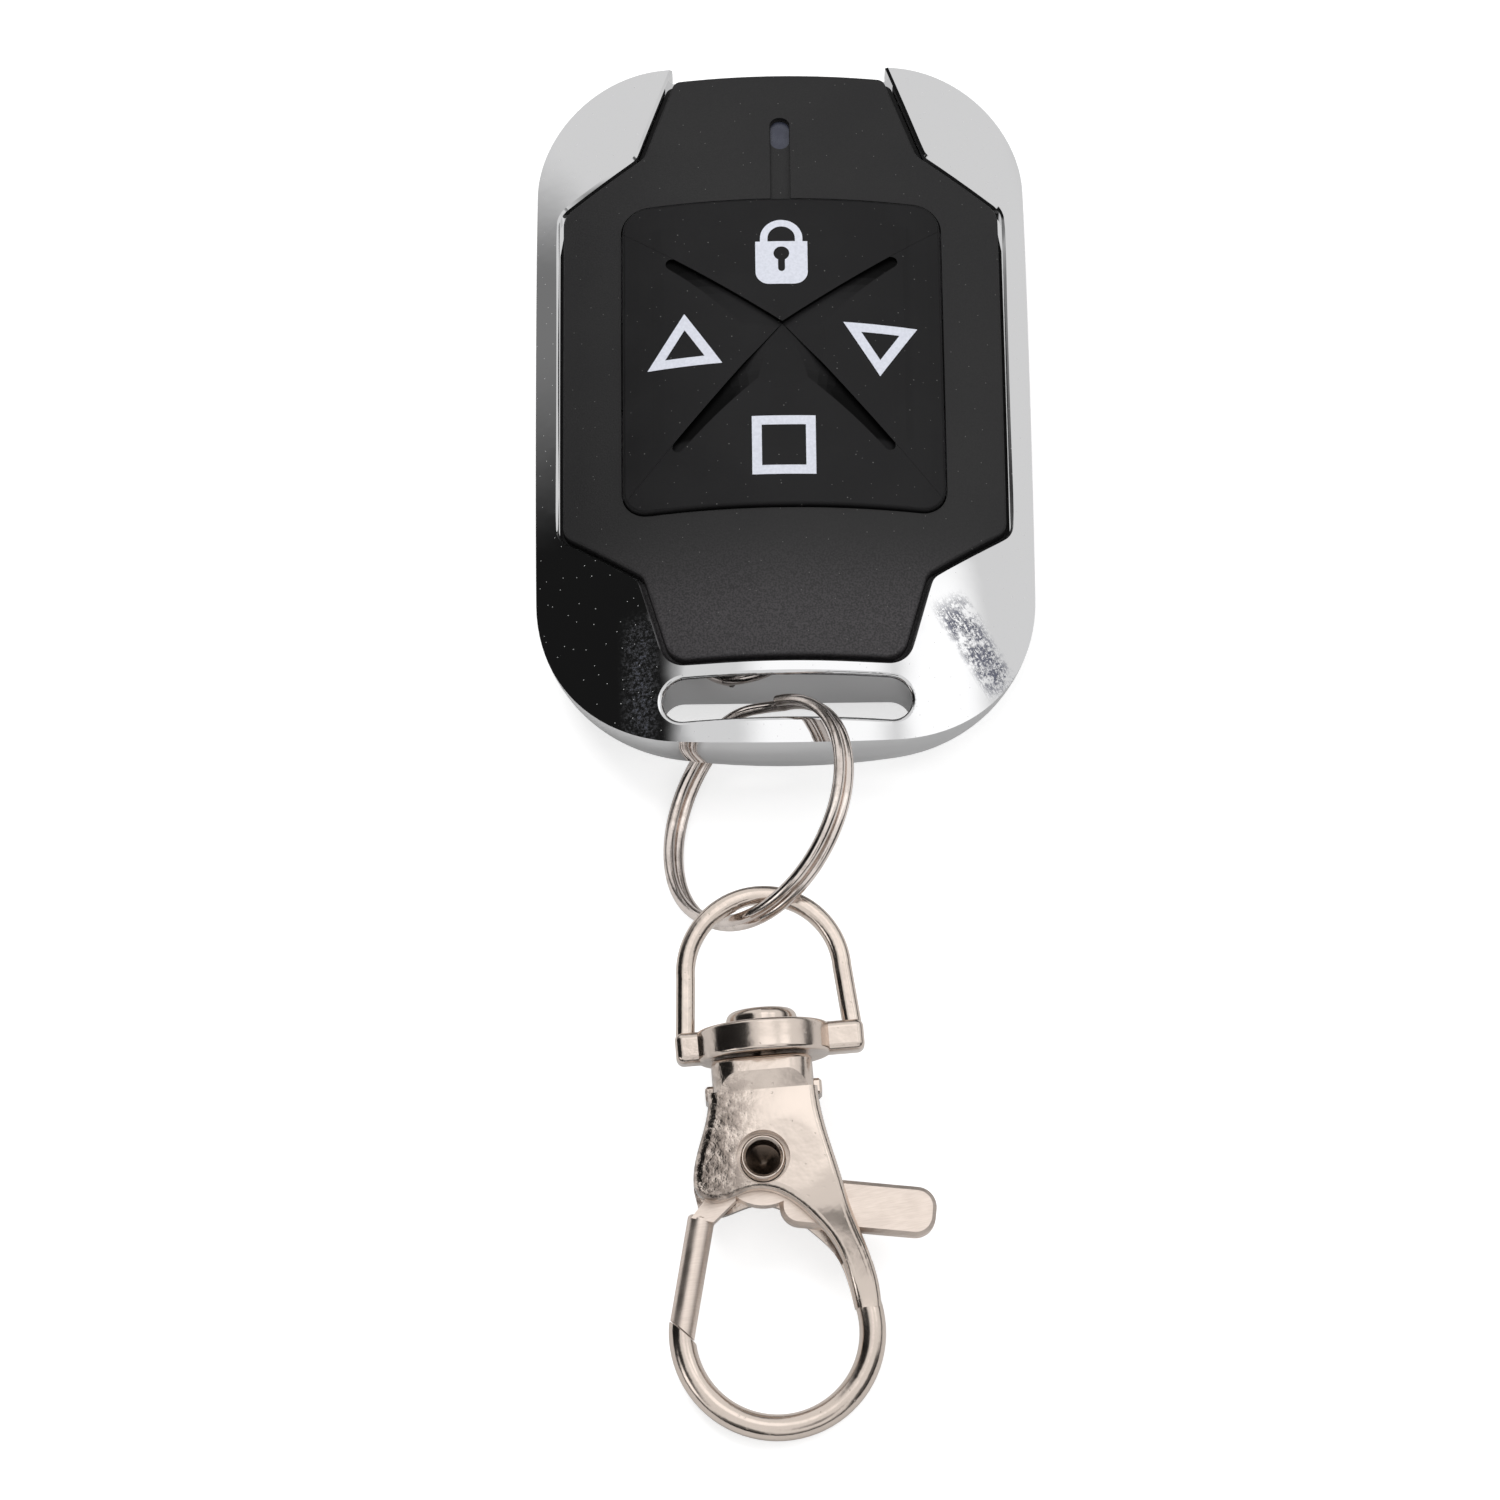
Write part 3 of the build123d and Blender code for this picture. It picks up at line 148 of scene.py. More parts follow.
class Shader:
    """The node tree of one material or world, with short calls that add a node and return its output."""

    def __init__(self, owner):
        owner.use_nodes = True
        self.tree = owner.node_tree
        self.tree.nodes.clear()

    def fill(self, socket, value):
        if is_socket(value):
            self.tree.links.new(value, socket)
        else:
            socket.default_value = value

    def add(self, kind, output, inputs, **settings):
        node = self.tree.nodes.new(kind)
        for name, value in settings.items():
            setattr(node, name, value)
        for name, value in inputs.items():
            self.fill(node.inputs[name], value)
        return node.outputs[output]

    def place(self):
        return self.add("ShaderNodeTexCoord", "Object", {})

    def part(self, vector, axis):
        return self.add("ShaderNodeSeparateXYZ", axis, {"Vector": vector})

    def facing_up(self):
        """1 where the surface lies level, 0 on an upright wall."""
        return self.part(self.add("ShaderNodeNewGeometry", "True Normal", {}), "Z")

    def stretched(self, vector, scale):
        return self.add("ShaderNodeMapping", "Vector", {"Vector": vector, "Scale": scale})

    def along(self, vector, heading):
        """How far a point lies along a heading in the XY plane, in degrees from X."""
        angle = math.radians(heading)
        return self.add("ShaderNodeVectorMath", "Value", {
            0: vector, 1: (math.cos(angle), math.sin(angle), 0)}, operation="DOT_PRODUCT")

    def grained(self, vector, heading, length):
        """Coordinates that draw noise out along a heading by this factor."""
        drawn = self.times(self.along(vector, heading), 1 / length)
        return self.add("ShaderNodeCombineXYZ", "Vector", {
            "X": drawn, "Y": self.along(vector, heading + 90)})

    def band(self, value, middle, half, edge):
        """1 where a value in millimetres lies within a half width of the middle, with soft edges."""
        off = self.math("ABSOLUTE", self.math("SUBTRACT", value, middle * MM))
        return self.ramp(off, (half + edge) * MM, half * MM)

    def rectangle(self, vector, heading, length, breadth):
        """1 in a soft-edged rectangle, given as a band along its heading and another across it."""
        return self.times(self.band(self.along(vector, heading), *length),
                          self.band(self.along(vector, heading + 90), *breadth))

    def noise(self, vector, size, detail=3.0, roughness=0.5):
        """Noise with features of about this size in millimetres."""
        return self.add("ShaderNodeTexNoise", "Fac", {
            "Vector": vector, "Scale": 1 / (size * MM), "Detail": detail, "Roughness": roughness})

    def ramp(self, value, low, high, bottom=0.0, top=1.0):
        """A smooth step between two limits, which may run downwards."""
        if low > high:
            low, high, bottom, top = high, low, top, bottom
        return self.add("ShaderNodeMapRange", "Result", {
            "Value": value, "From Min": low, "From Max": high, "To Min": bottom, "To Max": top},
            interpolation_type="SMOOTHSTEP")

    def spread(self, noise, bottom=0.0, top=1.0):
        """A noise spread out between two values."""
        return self.ramp(noise, NOISE_LOW, NOISE_HIGH, bottom, top)

    def dots(self, vector, spacing, radius, dimensions="2D"):
        """1 inside scattered round dots, one for each cell of this spacing, and 0 elsewhere."""
        distance = self.add("ShaderNodeTexVoronoi", "Distance", {
            "Vector": vector, "Scale": 1 / (spacing * MM)}, voronoi_dimensions=dimensions)
        return self.ramp(distance, radius / spacing, DOT_CORE * radius / spacing)

    def near(self, vector, centre, radius):
        """1 at a point in millimetres, falling to 0 at this radius."""
        distance = self.add("ShaderNodeVectorMath", "Value", {
            0: vector, 1: [c * MM for c in centre]}, operation="DISTANCE")
        return self.ramp(distance, radius * MM, AREA_CORE * radius * MM)

    def math(self, operation, first, second=0.0):
        return self.add("ShaderNodeMath", 0, {0: first, 1: second}, operation=operation)

    def times(self, first, *others):
        for other in others:
            first = self.math("MULTIPLY", first, other)
        return first

    def plus(self, first, *others):
        for other in others:
            first = self.math("ADD", first, other)
        return first

    def less(self, value):
        """What a value leaves of 1."""
        return self.math("SUBTRACT", 1.0, value)

    def mixed(self, factor, first, second):
        node = self.tree.nodes.new("ShaderNodeMix")
        node.data_type = "RGBA"
        colours = [s for s in node.inputs if s.type == "RGBA"]
        self.fill(node.inputs[0], factor)
        for socket, value in zip(colours, (first, second)):
            self.fill(socket, value if is_socket(value) else (*value, 1))
        return [s for s in node.outputs if s.type == "RGBA"][0]

    def bump(self, height, depth, under=None):
        """A bump this many millimetres deep, on top of another."""
        inputs = {"Height": height, "Distance": depth * MM, "Strength": 1.0}
        if under is not None:
            inputs["Normal"] = under
        return self.add("ShaderNodeBump", "Normal", inputs)

    def surface(self, **inputs):
        """Ends the tree in a principled shader. An underscore in a name stands for a space."""
        sockets = {}
        for name, value in inputs.items():
            sockets[name.replace("_", " ")] = (*value, 1) if isinstance(value, tuple) else value
        self.end(self.add("ShaderNodeBsdfPrincipled", "BSDF", sockets), "ShaderNodeOutputMaterial")

    def end(self, shader, kind):
        self.tree.links.new(shader, self.tree.nodes.new(kind).inputs["Surface"])


def material(name):
    """A new material and the shader to fill it with."""
    made = bpy.data.materials.new(name)
    return made, Shader(made)


def plated_chrome():
    """Bright chrome with scratches and a painted dark blue reflection by one corner, a bluish mottle by the
    other, hairlines and fine dust.
    """
    made, s = material("bright_chrome")
    place = s.place()
    up = s.facing_up()
    level = s.ramp(up, 0.80, 0.93)
    streaks = s.noise(s.grained(place, SCRATCH_AND_REFLECTION_HEADING, 9), 0.13, 3, 0.6)
    blotches = s.ramp(s.noise(place, 1.1, 3, 0.65), 0.34, 0.52)
    fine = s.ramp(s.noise(place, 0.22, 3, 0.7), 0.42, 0.58)
    # Painted reflection: the scratches in this band are coloured dark blue, for a dark thing mirrored there;
    # they are also rougher and bumped.
    scratch_and_reflection_band = s.rectangle(place, SCRATCH_AND_REFLECTION_HEADING, SCRATCH_AND_REFLECTION_ALONG, SCRATCH_AND_REFLECTION_ACROSS)
    lines = s.math("MAXIMUM", fine, s.ramp(streaks, 0.50, 0.60))
    scratches_and_reflection = s.times(scratch_and_reflection_band, blotches, lines, s.ramp(up, 0.45, 0.75))
    mottle = s.ramp(s.noise(place, 0.26, 4, 0.75), 0.44, 0.74, 0.0, 0.55)
    # A bluish, partly matt mottle on level faces at the lower left.
    blue_mottle = s.times(s.rectangle(place, 0, BLUE_MOTTLE_X, BLUE_MOTTLE_Y), mottle, level)
    dust = s.times(s.dots(place, 1.6, 0.045), level)
    hairs = s.ramp(s.noise(s.grained(place, HAIR_HEADING, 14), 0.10, 3, 0.6), 0.60, 0.72)
    haze = s.ramp(s.noise(place, 5, 2), 0.35, 0.7, 0.02, 0.05)
    bumps = s.bump(s.noise(place, 2.5, 2), 0.004)
    bumps = s.bump(s.times(scratches_and_reflection, streaks), 0.02, bumps)
    # The painted dark blue reflection goes onto the scratches by the corner.
    colour = s.mixed(s.times(scratches_and_reflection, 0.9), CHROME, SCRATCH_AND_REFLECTION_BLUE)
    colour = s.mixed(blue_mottle, colour, BLUE_MOTTLE)
    colour = s.mixed(s.times(dust, 0.8), colour, CHROME_DUST)
    matt = s.math("MAXIMUM", s.times(dust, 0.8), s.times(blue_mottle, 0.4))
    s.surface(Base_Color=colour, Metallic=s.less(matt), Normal=bumps,
              Roughness=s.plus(haze, s.times(scratches_and_reflection, 0.16), s.times(hairs, 0.05)))
    return made


def soft_touch():
    """Matt black plastic with a fine spark-eroded grain; a speckle and a painted sheen make it warmer and
    lighter towards the ring end.
    """
    made, s = material("soft_touch_black")
    place = s.place()
    grain = s.noise(place, 0.16, 3, 0.6)
    speckle = s.noise(place, 0.15, 1, 0.5)
    cloud = s.noise(place, 9, 2)
    ring_end = s.ramp(s.part(place, "Y"), SPECKLE_AND_SHEEN_FROM_Y * MM, SPECKLE_AND_SHEEN_TO_Y * MM)
    colour = s.mixed(s.spread(cloud), BLACK_PLASTIC, BLACK_SHADE)
    # Painted sheen: a warm, lighter speckle grows towards the ring end, partly the cover's grain and partly a
    # sheen of light.
    colour = s.mixed(s.times(ring_end, s.spread(speckle, 0.2, 1.0)), colour, WARM_SPECKLE_AND_SHEEN)
    colour = s.mixed(s.times(s.dots(place, 2.6, 0.045), 0.35), colour, COVER_DUST)
    s.surface(Base_Color=colour, Roughness=s.spread(grain, 0.42, 0.54), Specular_IOR_Level=0.25,
              Normal=s.bump(grain, 0.012, s.bump(cloud, 0.02)))
    return made


def key_plastic():
    """The keys' smoother black, with grey dust grains, a rubbed haze, and painted shade on the walls of the
    grooves and, fainter, on the keys' edges.
    """
    made, s = material("key_plastic")
    place = s.place()
    grain = s.noise(place, 0.11, 3, 0.6)
    haze = s.noise(place, 6, 3)
    turned = s.grained(place, 57, 1)
    dust = s.math("MAXIMUM", s.dots(place, 2.1, 0.04), s.dots(turned, 4.7, 0.06))
    # Painted shade: steep walls are coloured near black and lose most of their shine, fully in the grooves
    # and a quarter as much at the keys' edges.
    groove_shade_strength = s.ramp(s.rectangle(place, 0, GROOVES_X, GROOVES_Y), 0.0, 1.0, 0.25, 1.0)
    painted_groove_shade = s.times(s.ramp(s.facing_up(), 0.982, 0.93), groove_shade_strength)
    colour = s.mixed(s.ramp(haze, 0.35, 0.7), KEY_BLACK, KEY_HAZE)
    colour = s.mixed(s.times(dust, 0.4), colour, KEY_DUST)
    colour = s.mixed(painted_groove_shade, colour, GROOVE_PAINTED_SHADE)
    s.surface(Base_Color=colour, Roughness=s.spread(haze, 0.40, 0.50), Normal=s.bump(grain, 0.007),
              Specular_IOR_Level=s.ramp(painted_groove_shade, 0.0, 1.0, 0.20, 0.06))
    return made


def printed_ink():
    """The white print on the keys, a little mottled."""
    made, s = material("printed_ink")
    mottle = s.noise(s.place(), 0.25, 3)
    s.surface(Base_Color=s.mixed(s.spread(mottle), INK, INK_SHADE), Specular_IOR_Level=0.3,
              Roughness=s.spread(mottle, 0.5, 0.6), Normal=s.bump(mottle, 0.008))
    return made


def smoked_lens():
    """The lamp's smoked window."""
    made, s = material("smoked_lens")
    cloud = s.noise(s.place(), 0.8, 2)
    s.surface(Base_Color=s.mixed(s.spread(cloud), LENS, LENS_SHADE), Specular_IOR_Level=0.4,
              Roughness=s.spread(cloud, 0.22, 0.32), Coat_Weight=0.2, Coat_Roughness=0.1,
              Normal=s.bump(cloud, 0.01))
    return made


def drawn_nickel():
    """Bright nickel on drawn wire: fine lines along the ring's turns and small dark dents."""
    made, s = material("drawn_nickel")
    place = s.place()
    lines = s.noise(s.stretched(place, (1, 0.3, 0.3)), 0.09, 3)
    cloud = s.noise(place, 1.3, 3)
    colour = s.mixed(s.ramp(cloud, 0.45, 0.85), WIRE_NICKEL, DARK_NICKEL)
    s.surface(Base_Color=colour, Metallic=1.0, Roughness=s.spread(cloud, 0.12, 0.22),
              Normal=s.bump(lines, 0.004, s.bump(cloud, 0.02)))
    return made


def cast_nickel(name, worn_side):
    """Satin nickel over a casting, with soft waves and pores, painted shade around the rivet's bore, and a
    hammered side where worn_side is 1.
    """
    made, s = material(name)
    place = s.place()
    waves = s.noise(place, 2.2, 3)
    hammered = s.noise(place, 0.75, 4, 0.6)
    pores = s.dots(place, 0.9, 0.10, "3D")
    side = s.ramp(s.part(place, "X"), WORN_FROM_X * MM, WORN_TO_X * MM)
    worn = s.times(side, s.near(place, *WORN_AREA), worn_side)
    colour = s.mixed(s.times(worn, s.ramp(hammered, 0.35, 0.6)), NICKEL, WORN_NICKEL)
    # Painted shade: the rivet's bore and what lies near it are coloured near black.
    colour = s.mixed(s.near(place, *BORE_SHADE_AREA), colour, BORE_PAINTED_SHADE)
    bumps = s.bump(s.near(place, *DOMED_AREA), 0.8 * worn_side)
    bumps = s.bump(waves, 0.05, bumps)
    bumps = s.bump(s.times(hammered, worn), 0.13, bumps)
    bumps = s.bump(s.less(pores), 0.012, bumps)
    s.surface(Base_Color=colour, Metallic=1.0, Normal=bumps,
              Roughness=s.plus(s.spread(waves, 0.15, 0.23), s.times(worn, -0.05)))
    return made


def brushed_nickel():
    """The lever's satin face, brushed along its length."""
    made, s = material("brushed_nickel")
    place = s.place()
    strokes = s.noise(s.grained(place, LEVER_HEADING, 10), 0.12, 4)
    cloud = s.noise(place, 1.8, 2)
    colour = s.mixed(s.spread(strokes), BRUSHED_NICKEL, BRUSHED_SHADE)
    s.surface(Base_Color=colour, Metallic=1.0, Roughness=s.spread(cloud, 0.30, 0.40),
              Normal=s.bump(strokes, 0.008, s.bump(cloud, 0.03)))
    return made


def plain_metal(name, colour, shade, roughness):
    """A metal of an inner piece or a fastener, with fine machining lines."""
    made, s = material(name)
    lines = s.noise(s.stretched(s.place(), (1, 0.2, 1)), 0.12, 3)
    s.surface(Base_Color=s.mixed(s.spread(lines), colour, shade), Metallic=1.0,
              Roughness=s.spread(lines, roughness, roughness + 0.1), Normal=s.bump(lines, 0.004))
    return made


def plain_polymer(name, colour, shade, roughness):
    """A moulded or coated inner piece."""
    made, s = material(name)
    cloud = s.noise(s.place(), 1.2, 4)
    s.surface(Base_Color=s.mixed(s.spread(cloud), colour, shade),
              Roughness=s.spread(cloud, roughness, roughness + 0.12), Normal=s.bump(cloud, 0.006))
    return made


def make_materials():
    """A material for each of the record's slots."""
    return {
        "plated_zinc": plated_chrome(),
        "soft_black": soft_touch(),
        "key_black": key_plastic(),
        "lens_smoke": smoked_lens(),
        "ring_nickel": drawn_nickel(),
        "cast_nickel": cast_nickel("cast_nickel", 1.0),
        "rivet_nickel": cast_nickel("rivet_nickel", 0.0),
        "lever_nickel": brushed_nickel(),
        "silicone": plain_polymer("grey_silicone", (0.20, 0.20, 0.21), (0.16, 0.16, 0.17), 0.55),
        "board_green": plain_polymer("solder_mask", (0.010, 0.085, 0.030), (0.008, 0.065, 0.024), 0.28),
        "copper_strip": plain_metal("copper", (0.78, 0.40, 0.24), (0.62, 0.30, 0.18), 0.28),
        "chip_black": plain_polymer("moulded_epoxy", (0.018, 0.018, 0.019), (0.026, 0.026, 0.027), 0.42),
        "can_steel": plain_metal("crystal_can", (0.60, 0.59, 0.57), (0.50, 0.49, 0.47), 0.25),
        "lamp_white": plain_polymer("lamp_white", (0.72, 0.72, 0.66), (0.62, 0.62, 0.56), 0.30),
        "cell_steel": plain_metal("cell_can", (0.62, 0.61, 0.59), (0.54, 0.53, 0.51), 0.30),
        "contact_steel": plain_metal("contact_spring", (0.58, 0.56, 0.50), (0.50, 0.48, 0.43), 0.32),
        "screw_steel": plain_metal("screw_zinc", (0.52, 0.52, 0.54), (0.42, 0.42, 0.44), 0.30),
        "spring_steel": plain_metal("spring_wire", (0.45, 0.43, 0.41), (0.36, 0.34, 0.33), 0.28),
        "switch_grey": plain_metal("switch_cover", (0.55, 0.54, 0.53), (0.46, 0.45, 0.44), 0.34),
        "plunger_black": plain_polymer("plunger_black", (0.016, 0.016, 0.017), (0.024, 0.024, 0.025), 0.40),
    }


def dress(frame, materials):
    """Gives every CAD node the material made for its slot in the record."""
    for node in frame["nodes"].values():
        for slot in node.material_slots:
            slot.material = materials[slot.material.name]


def add_object(name, data):
    """A new object in the scene."""
    made = bpy.data.objects.new(name, data)
    bpy.context.scene.collection.objects.link(made)
    return made


def finished(name, bm, finish):
    """An object made of a closed bmesh, with its one material."""
    bmesh.ops.recalc_face_normals(bm, faces=bm.faces[:])
    mesh = bpy.data.meshes.new(name)
    bm.to_mesh(mesh)
    bm.free()
    mesh.materials.append(finish)
    return add_object(name, mesh)


def circle(centre, radius, start=0.0, end=360.0, steps=40):
    """Points of an arc, in millimetres, with both its ends unless it is a whole circle."""
    whole = abs(end - start) >= 360
    count = steps if whole else steps + 1
    angles = [math.radians(start + (end - start) * i / steps) for i in range(count)]
    return [(centre[0] + radius * math.cos(a), centre[1] + radius * math.sin(a)) for a in angles]


def padlock():
    """The outlines of a closed padlock: shackle and body in one, with the shackle's hole and the keyhole."""
    half, top, bottom, corner = 2.15, 12.35, 8.3, 1.15
    arch, stroke, centre_y = 1.75, 0.62, 12.65
    outer = [(half, top), (arch, top)]
    outer += circle((0, centre_y), arch, 0, 180)
    outer += [(-arch, top), (-half, top)]
    outer += circle((-half + corner, bottom + corner), corner, 180, 270, 12)
    outer += circle((half - corner, bottom + corner), corner, 270, 360, 12)
    inner = arch - stroke
    hole = [(inner, top), *circle((0, centre_y), inner, 0, 180), (-inner, top)]
    key_y, key_radius, slot, foot = 11.2, 0.65, 0.285, 9.5
    turn = math.degrees(math.asin(slot / key_radius))
    keyhole = circle((0, key_y), key_radius, -90 + turn, 270 - turn)
    keyhole += circle((0, foot + slot), slot, 180, 360, 12)
    return [outer, hole, keyhole]


def inset_triangle(corners, stroke):
    """A triangle's outline and the smaller one inside it, for a line this wide."""
    points = [Vector(c) for c in corners]
    sides = [(points[(i + 1) % 3] - points[(i + 2) % 3]).length for i in range(3)]
    whole = sum(sides)
    middle = sum((p * side for p, side in zip(points, sides)), Vector((0, 0))) / whole
    a, b = points[1] - points[0], points[2] - points[0]
    inradius = abs(a.x * b.y - a.y * b.x) / whole
    share = (inradius - stroke) / inradius
    return [[tuple(p) for p in points], [tuple(middle + (p - middle) * share) for p in points]]


def square(centre, outer, stroke):
    """A square's outline and the smaller one inside it, for a line this wide."""
    outlines = []
    for half in (outer, outer - stroke):
        outlines.append([(centre[0] + x * half, centre[1] + y * half)
                         for x, y in ((1, 1), (-1, 1), (-1, -1), (1, -1))])
    return outlines


# Each key's sign, in millimetres, seen from above.
SIGNS = {
    "lock": padlock(),
    "up": inset_triangle([(-8.05, 5.93), (-11.1, 0.97), (-4.96, 1.15)], SIGN_STROKE),
    "down": inset_triangle([(5.0, 4.8), (11.08, 4.6), (7.95, -0.03)], SIGN_STROKE),
    "stop": square((0, -6.45), 2.6, SIGN_STROKE),
}


def filled_mesh(outlines):
    """A flat bmesh of closed outlines, with the inner ones left open."""
    curve = bpy.data.curves.new("sign", "CURVE")
    curve.dimensions = "2D"
    curve.fill_mode = "BOTH"
    for outline in outlines:
        spline = curve.splines.new("POLY")
        spline.points.add(len(outline) - 1)
        for point, (x, y) in zip(spline.points, outline):
            point.co = (x * MM, y * MM, 0, 1)
        spline.use_cyclic_u = True
    holder = add_object("sign", curve)
    bpy.context.view_layer.update()
    flat = bpy.data.meshes.new_from_object(holder)
    bm = bmesh.new()
    bm.from_mesh(flat)
    bpy.data.objects.remove(holder)
    bpy.data.curves.remove(curve)
    bpy.data.meshes.remove(flat)
    return bm


def cut_in_cells(bm, cell):
    """Cuts flat faces along a square grid, so that they can follow a crowned surface."""
    for axis, normal in enumerate((Vector((1, 0, 0)), Vector((0, 1, 0)))):
        values = [v.co[axis] for v in bm.verts]
        first = math.ceil(min(values) / cell)
        last = math.floor(max(values) / cell)
        for i in range(first, last + 1):
            bmesh.ops.bisect_plane(bm, geom=bm.verts[:] + bm.edges[:] + bm.faces[:],
                                   plane_co=normal * i * cell, plane_no=normal)


def search_tree(node):
    """A search tree over a CAD node's mesh."""
    mesh = node.data
    return BVHTree.FromPolygons([v.co for v in mesh.vertices], [p.vertices for p in mesh.polygons])


def printed_sign(name, outlines, key, body, ink):
    """A thin printed film that follows the crown of its key."""
    surface = search_tree(key)
    above = max(v.co.z for v in key.data.vertices) + MM
    bm = filled_mesh(outlines)
    cut_in_cells(bm, INK_CELL * MM)
    for vert in bm.verts:
        hit = surface.ray_cast(Vector((vert.co.x, vert.co.y, above)), Vector((0, 0, -1)))[0]
        vert.co.z = hit.z + INK_HEIGHT * MM
    bmesh.ops.triangulate(bm, faces=bm.faces[:])
    grown = bmesh.ops.extrude_face_region(bm, geom=bm.faces[:])["geom"]
    low = [v for v in grown if isinstance(v, bmesh.types.BMVert)]
    bmesh.ops.translate(bm, verts=low, vec=(0, 0, -INK_DEPTH * MM))
    made = finished(name, bm, ink)
    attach(made, body)


def print_signs(frame):
    """Prints each key's sign, which moves with the key."""
    ink = printed_ink()
    for name, outlines in SIGNS.items():
        printed_sign("sign_" + name, outlines, frame["nodes"]["key_" + name], name + "_key", ink)


def rounded_section(width, depth, corner):
    """Points of the outline of a rounded rectangle."""
    points = []
    for x, y, start in ((1, 1, 0), (-1, 1, 90), (-1, -1, 180), (1, -1, 270)):
        centre = (x * (width / 2 - corner), y * (depth / 2 - corner))
        points += circle(centre, corner, start, start + 90, 8)
    return points


def arch_top(frame):
    """The top of the bail's arch, where the bore of its rivet leaves the CAD arch open."""
    outwards = CLASP_ACROSS.cross(CLASP_ALONG)
    middle = CLASP_ORIGIN + CLASP_ACROSS * ARCH_CENTRE[0] + CLASP_ALONG * ARCH_CENTRE[1]
    outline = rounded_section(ARCH_WIDTH, ARCH_DEPTH, ARCH_CORNER)
    bm = bmesh.new()
    rings = []
    for degrees in range(ARCH_FROM, ARCH_TO + 1, ARCH_STEP):
        angle = math.radians(degrees)
        away = CLASP_ACROSS * math.cos(angle) + CLASP_ALONG * math.sin(angle)
        share = (degrees - ARCH_FROM) / (ARCH_TO - ARCH_FROM)
        worn = 1 - ARCH_WEAR * math.sin(math.pi * share)
        # Only the inner side, where x is below 0, is worn.
        rings.append([bm.verts.new((middle + away * (ARCH_RADIUS + max(x, x * worn)) + outwards * y) * MM)
                      for x, y in outline])
    for low, high in zip(rings, rings[1:]):
        for i in range(len(outline)):
            bm.faces.new((low[i - 1], low[i], high[i], high[i - 1])).smooth = True
    for ring in (rings[0], rings[-1]):
        for edge in bm.faces.new(ring).edges:
            edge.smooth = False
    bail = frame["nodes"]["swivel_bail"]
    made = finished("bail_arch_top", bm, bail.material_slots[0].material)
    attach(made, "bail")


def floor():
    """A pale floor that reads white to the camera and in reflections, and keeps the shadow."""
    mesh = bpy.data.meshes.new("floor")
    points = [(x * FLOOR_HALF, y * FLOOR_HALF, 0) for x, y in ((-1, -1), (1, -1), (1, 1), (-1, 1))]
    mesh.from_pydata(points, [], [(0, 1, 2, 3)])
    made = add_object("floor", mesh)
    paint, s = material("studio_floor")
    camera_ray, glossy_ray, transmission_ray = (
        s.add("ShaderNodeLightPath", name, {})
        for name in ("Is Camera Ray", "Is Glossy Ray", "Is Transmission Ray"))
    seen = s.math("MAXIMUM", camera_ray, transmission_ray)
    seen = s.math("MAXIMUM", seen, s.times(glossy_ray, GLOSSY_SHARE))
    cloud = s.noise(s.place(), 60, 2)
    colour = s.mixed(s.spread(cloud), (FLOOR_PAINT,) * 3, (FLOOR_PAINT * FLOOR_MOTTLE,) * 3)
    diffuse = s.add("ShaderNodeBsdfDiffuse", "BSDF", {"Color": colour, "Roughness": 0.0})
    glow = s.add("ShaderNodeEmission", "Emission", {
        "Color": WHITE, "Strength": s.times(seen, FLOOR_LIFT)})
    s.end(s.add("ShaderNodeAddShader", 0, {0: diffuse, 1: glow}), "ShaderNodeOutputMaterial")
    mesh.materials.append(paint)


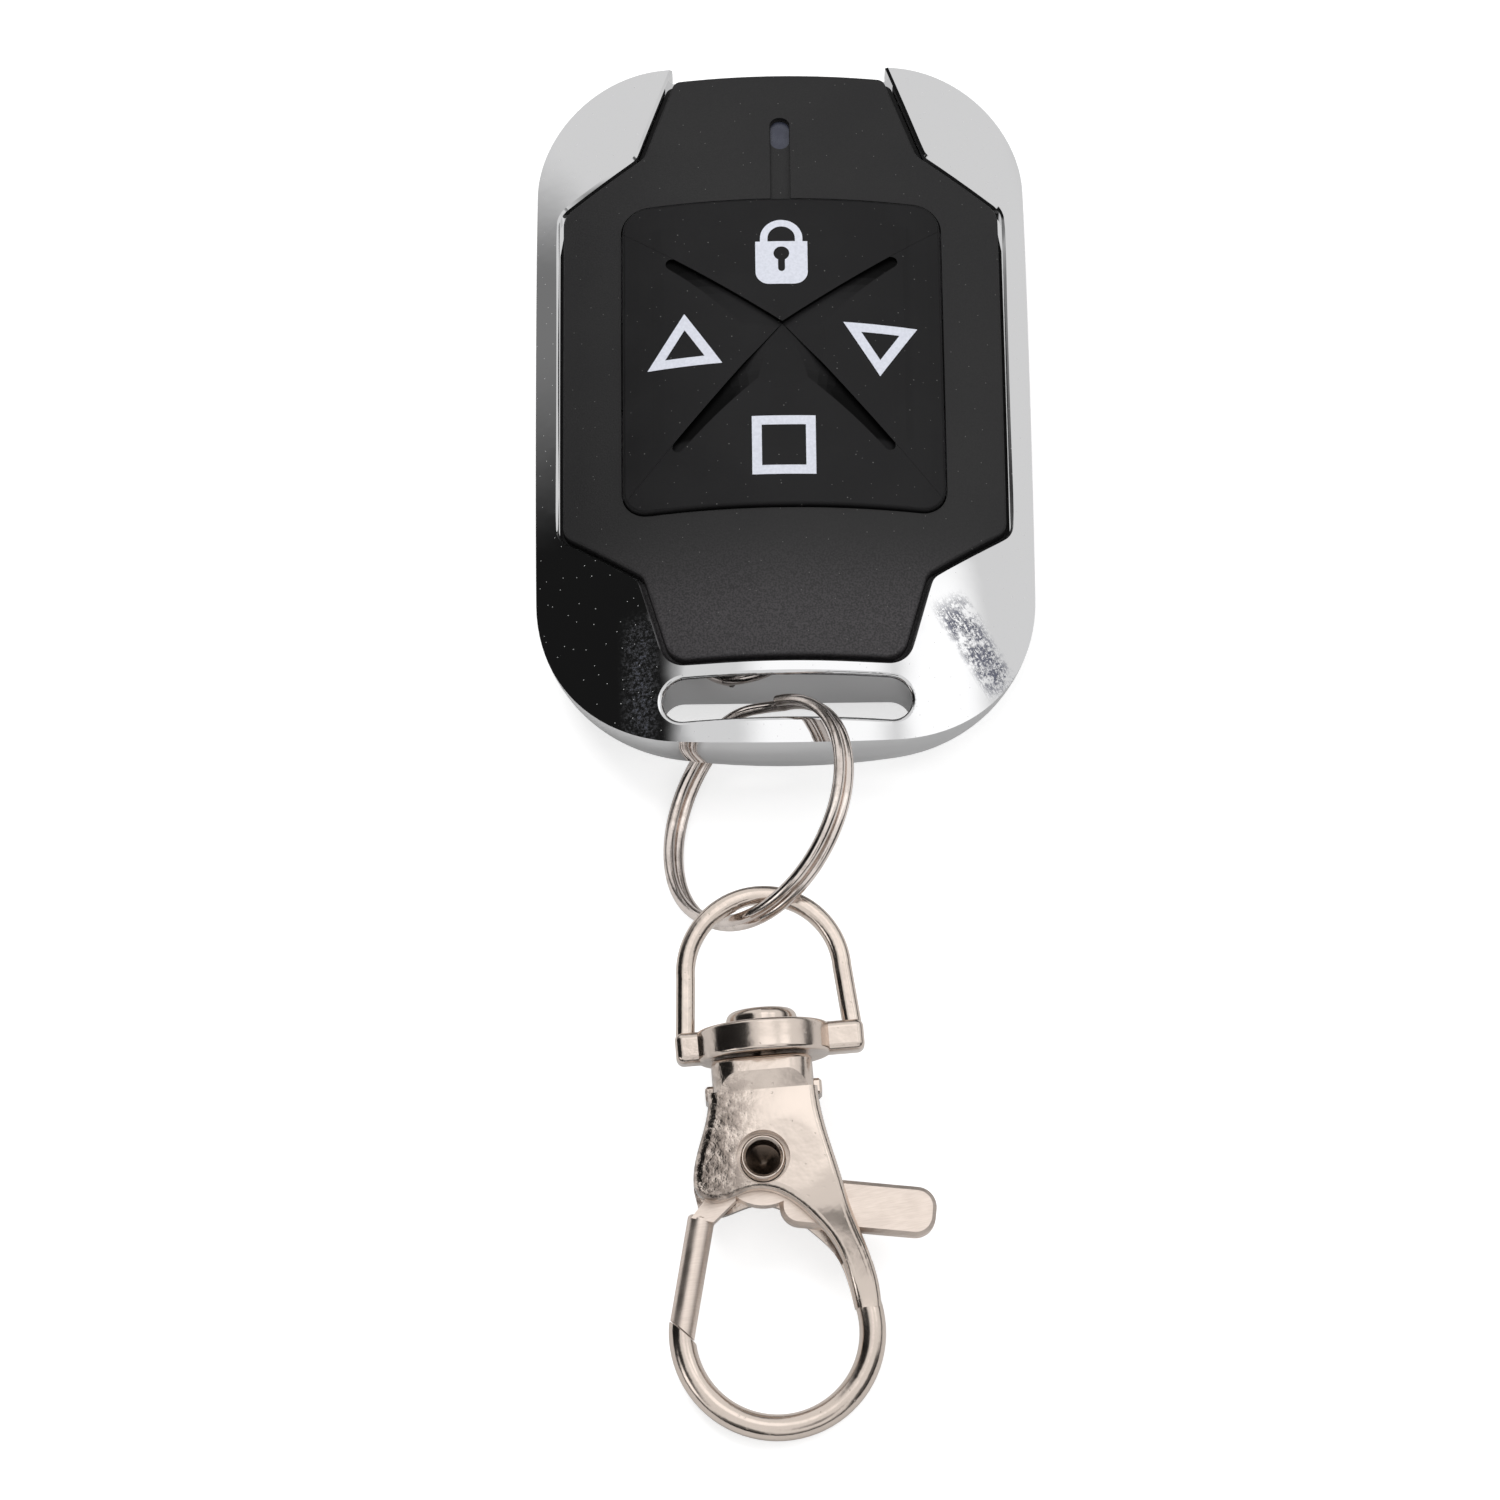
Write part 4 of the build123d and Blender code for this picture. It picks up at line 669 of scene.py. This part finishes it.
def studio_world():
    """An even pale room with bright and dim patches and a dark flag at the left. The camera sees it white."""
    world = bpy.data.worlds.new("studio")
    bpy.context.scene.world = world
    s = Shader(world)
    view = s.add("ShaderNodeTexCoord", "Generated", {})

    def patch(aim, inner, outer):
        """1 within the inner angle of a direction, 0 outside the outer one."""
        facing = s.add("ShaderNodeVectorMath", "Value", {
            0: view, 1: Vector(aim).normalized()}, operation="DOT_PRODUCT")
        return s.ramp(facing, math.cos(math.radians(outer)), math.cos(math.radians(inner)))

    level = s.ramp(s.part(view, "Z"), *HORIZON, *ROOM_LEVEL)
    for aim, inner, outer, added in BRIGHT_PATCHES:
        level = s.plus(level, s.times(patch(aim, inner, outer), added))
    for aim, inner, outer, left in DIM_PATCHES:
        level = s.times(level, s.ramp(patch(aim, inner, outer), 0.0, 1.0, 1.0, left))
    flag = patch(*FLAG)
    behind = s.ramp(s.part(view, "Y"), *FLAG_DEPTH, *FLAG_LEVEL)
    level = s.plus(s.times(level, s.less(flag)), s.times(flag, behind))
    level = s.plus(level, s.times(patch(*SPARK), SPARK_LEVEL))
    shade = s.add("ShaderNodeBackground", "Background", {"Color": WHITE, "Strength": level})
    white = s.add("ShaderNodeBackground", "Background", {"Color": WHITE, "Strength": 1.0})
    camera_ray = s.add("ShaderNodeLightPath", "Is Camera Ray", {})
    s.end(s.add("ShaderNodeMixShader", 0, {0: camera_ray, 1: shade, 2: white}), "ShaderNodeOutputWorld")


def softbox(name, place, size, power):
    """A square area lamp that faces the object and isn't seen in reflections."""
    light = bpy.data.lights.new(name, "AREA")
    light.size = size * MM
    light.energy = power
    light.spread = LAMP_SPREAD
    made = add_object(name, light)
    made.location = Vector(place) * MM
    aim = (Vector(place) - Vector(LAMP_TARGET)).to_track_quat("Z", "Y")
    made.rotation_euler = aim.to_euler()
    made.visible_glossy = False


def camera():
    """The photograph's view: a direction, a roll and a distance from its target."""
    away = Vector((0, -math.cos(CAMERA_ELEVATION), math.sin(CAMERA_ELEVATION)))
    level_up = Vector((0, math.sin(CAMERA_ELEVATION), math.cos(CAMERA_ELEVATION)))
    level_right = Vector((1, 0, 0))
    right = level_right * math.cos(CAMERA_ROLL) + level_up * math.sin(CAMERA_ROLL)
    up = level_up * math.cos(CAMERA_ROLL) - level_right * math.sin(CAMERA_ROLL)
    data = bpy.data.cameras.new("camera")
    data.sensor_width = SENSOR
    data.lens = SENSOR * FOCAL_PIXELS / PHOTO_SIZE
    data.clip_start = NEAREST_SEEN
    data.clip_end = FURTHEST_SEEN
    made = add_object("camera", data)
    turn = Matrix((right, up, away)).transposed().to_4x4()
    made.matrix_world = Matrix.Translation(CAMERA_TARGET + away * CAMERA_DISTANCE) @ turn
    bpy.context.scene.camera = made


def corners(box):
    return [list(corner) for corner in box]


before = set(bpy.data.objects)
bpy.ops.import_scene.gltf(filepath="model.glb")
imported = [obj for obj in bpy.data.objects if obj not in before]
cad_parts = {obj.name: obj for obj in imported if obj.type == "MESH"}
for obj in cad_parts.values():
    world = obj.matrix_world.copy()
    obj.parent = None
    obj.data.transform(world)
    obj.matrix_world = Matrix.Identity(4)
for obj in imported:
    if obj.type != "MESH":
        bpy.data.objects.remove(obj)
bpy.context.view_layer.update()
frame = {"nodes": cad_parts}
bpy.context.scene.view_settings.view_transform = "Standard"
dress(frame, make_materials())
print_signs(frame)
arch_top(frame)
floor()
studio_world()
for lamp in LAMPS:
    softbox(*lamp)
camera()
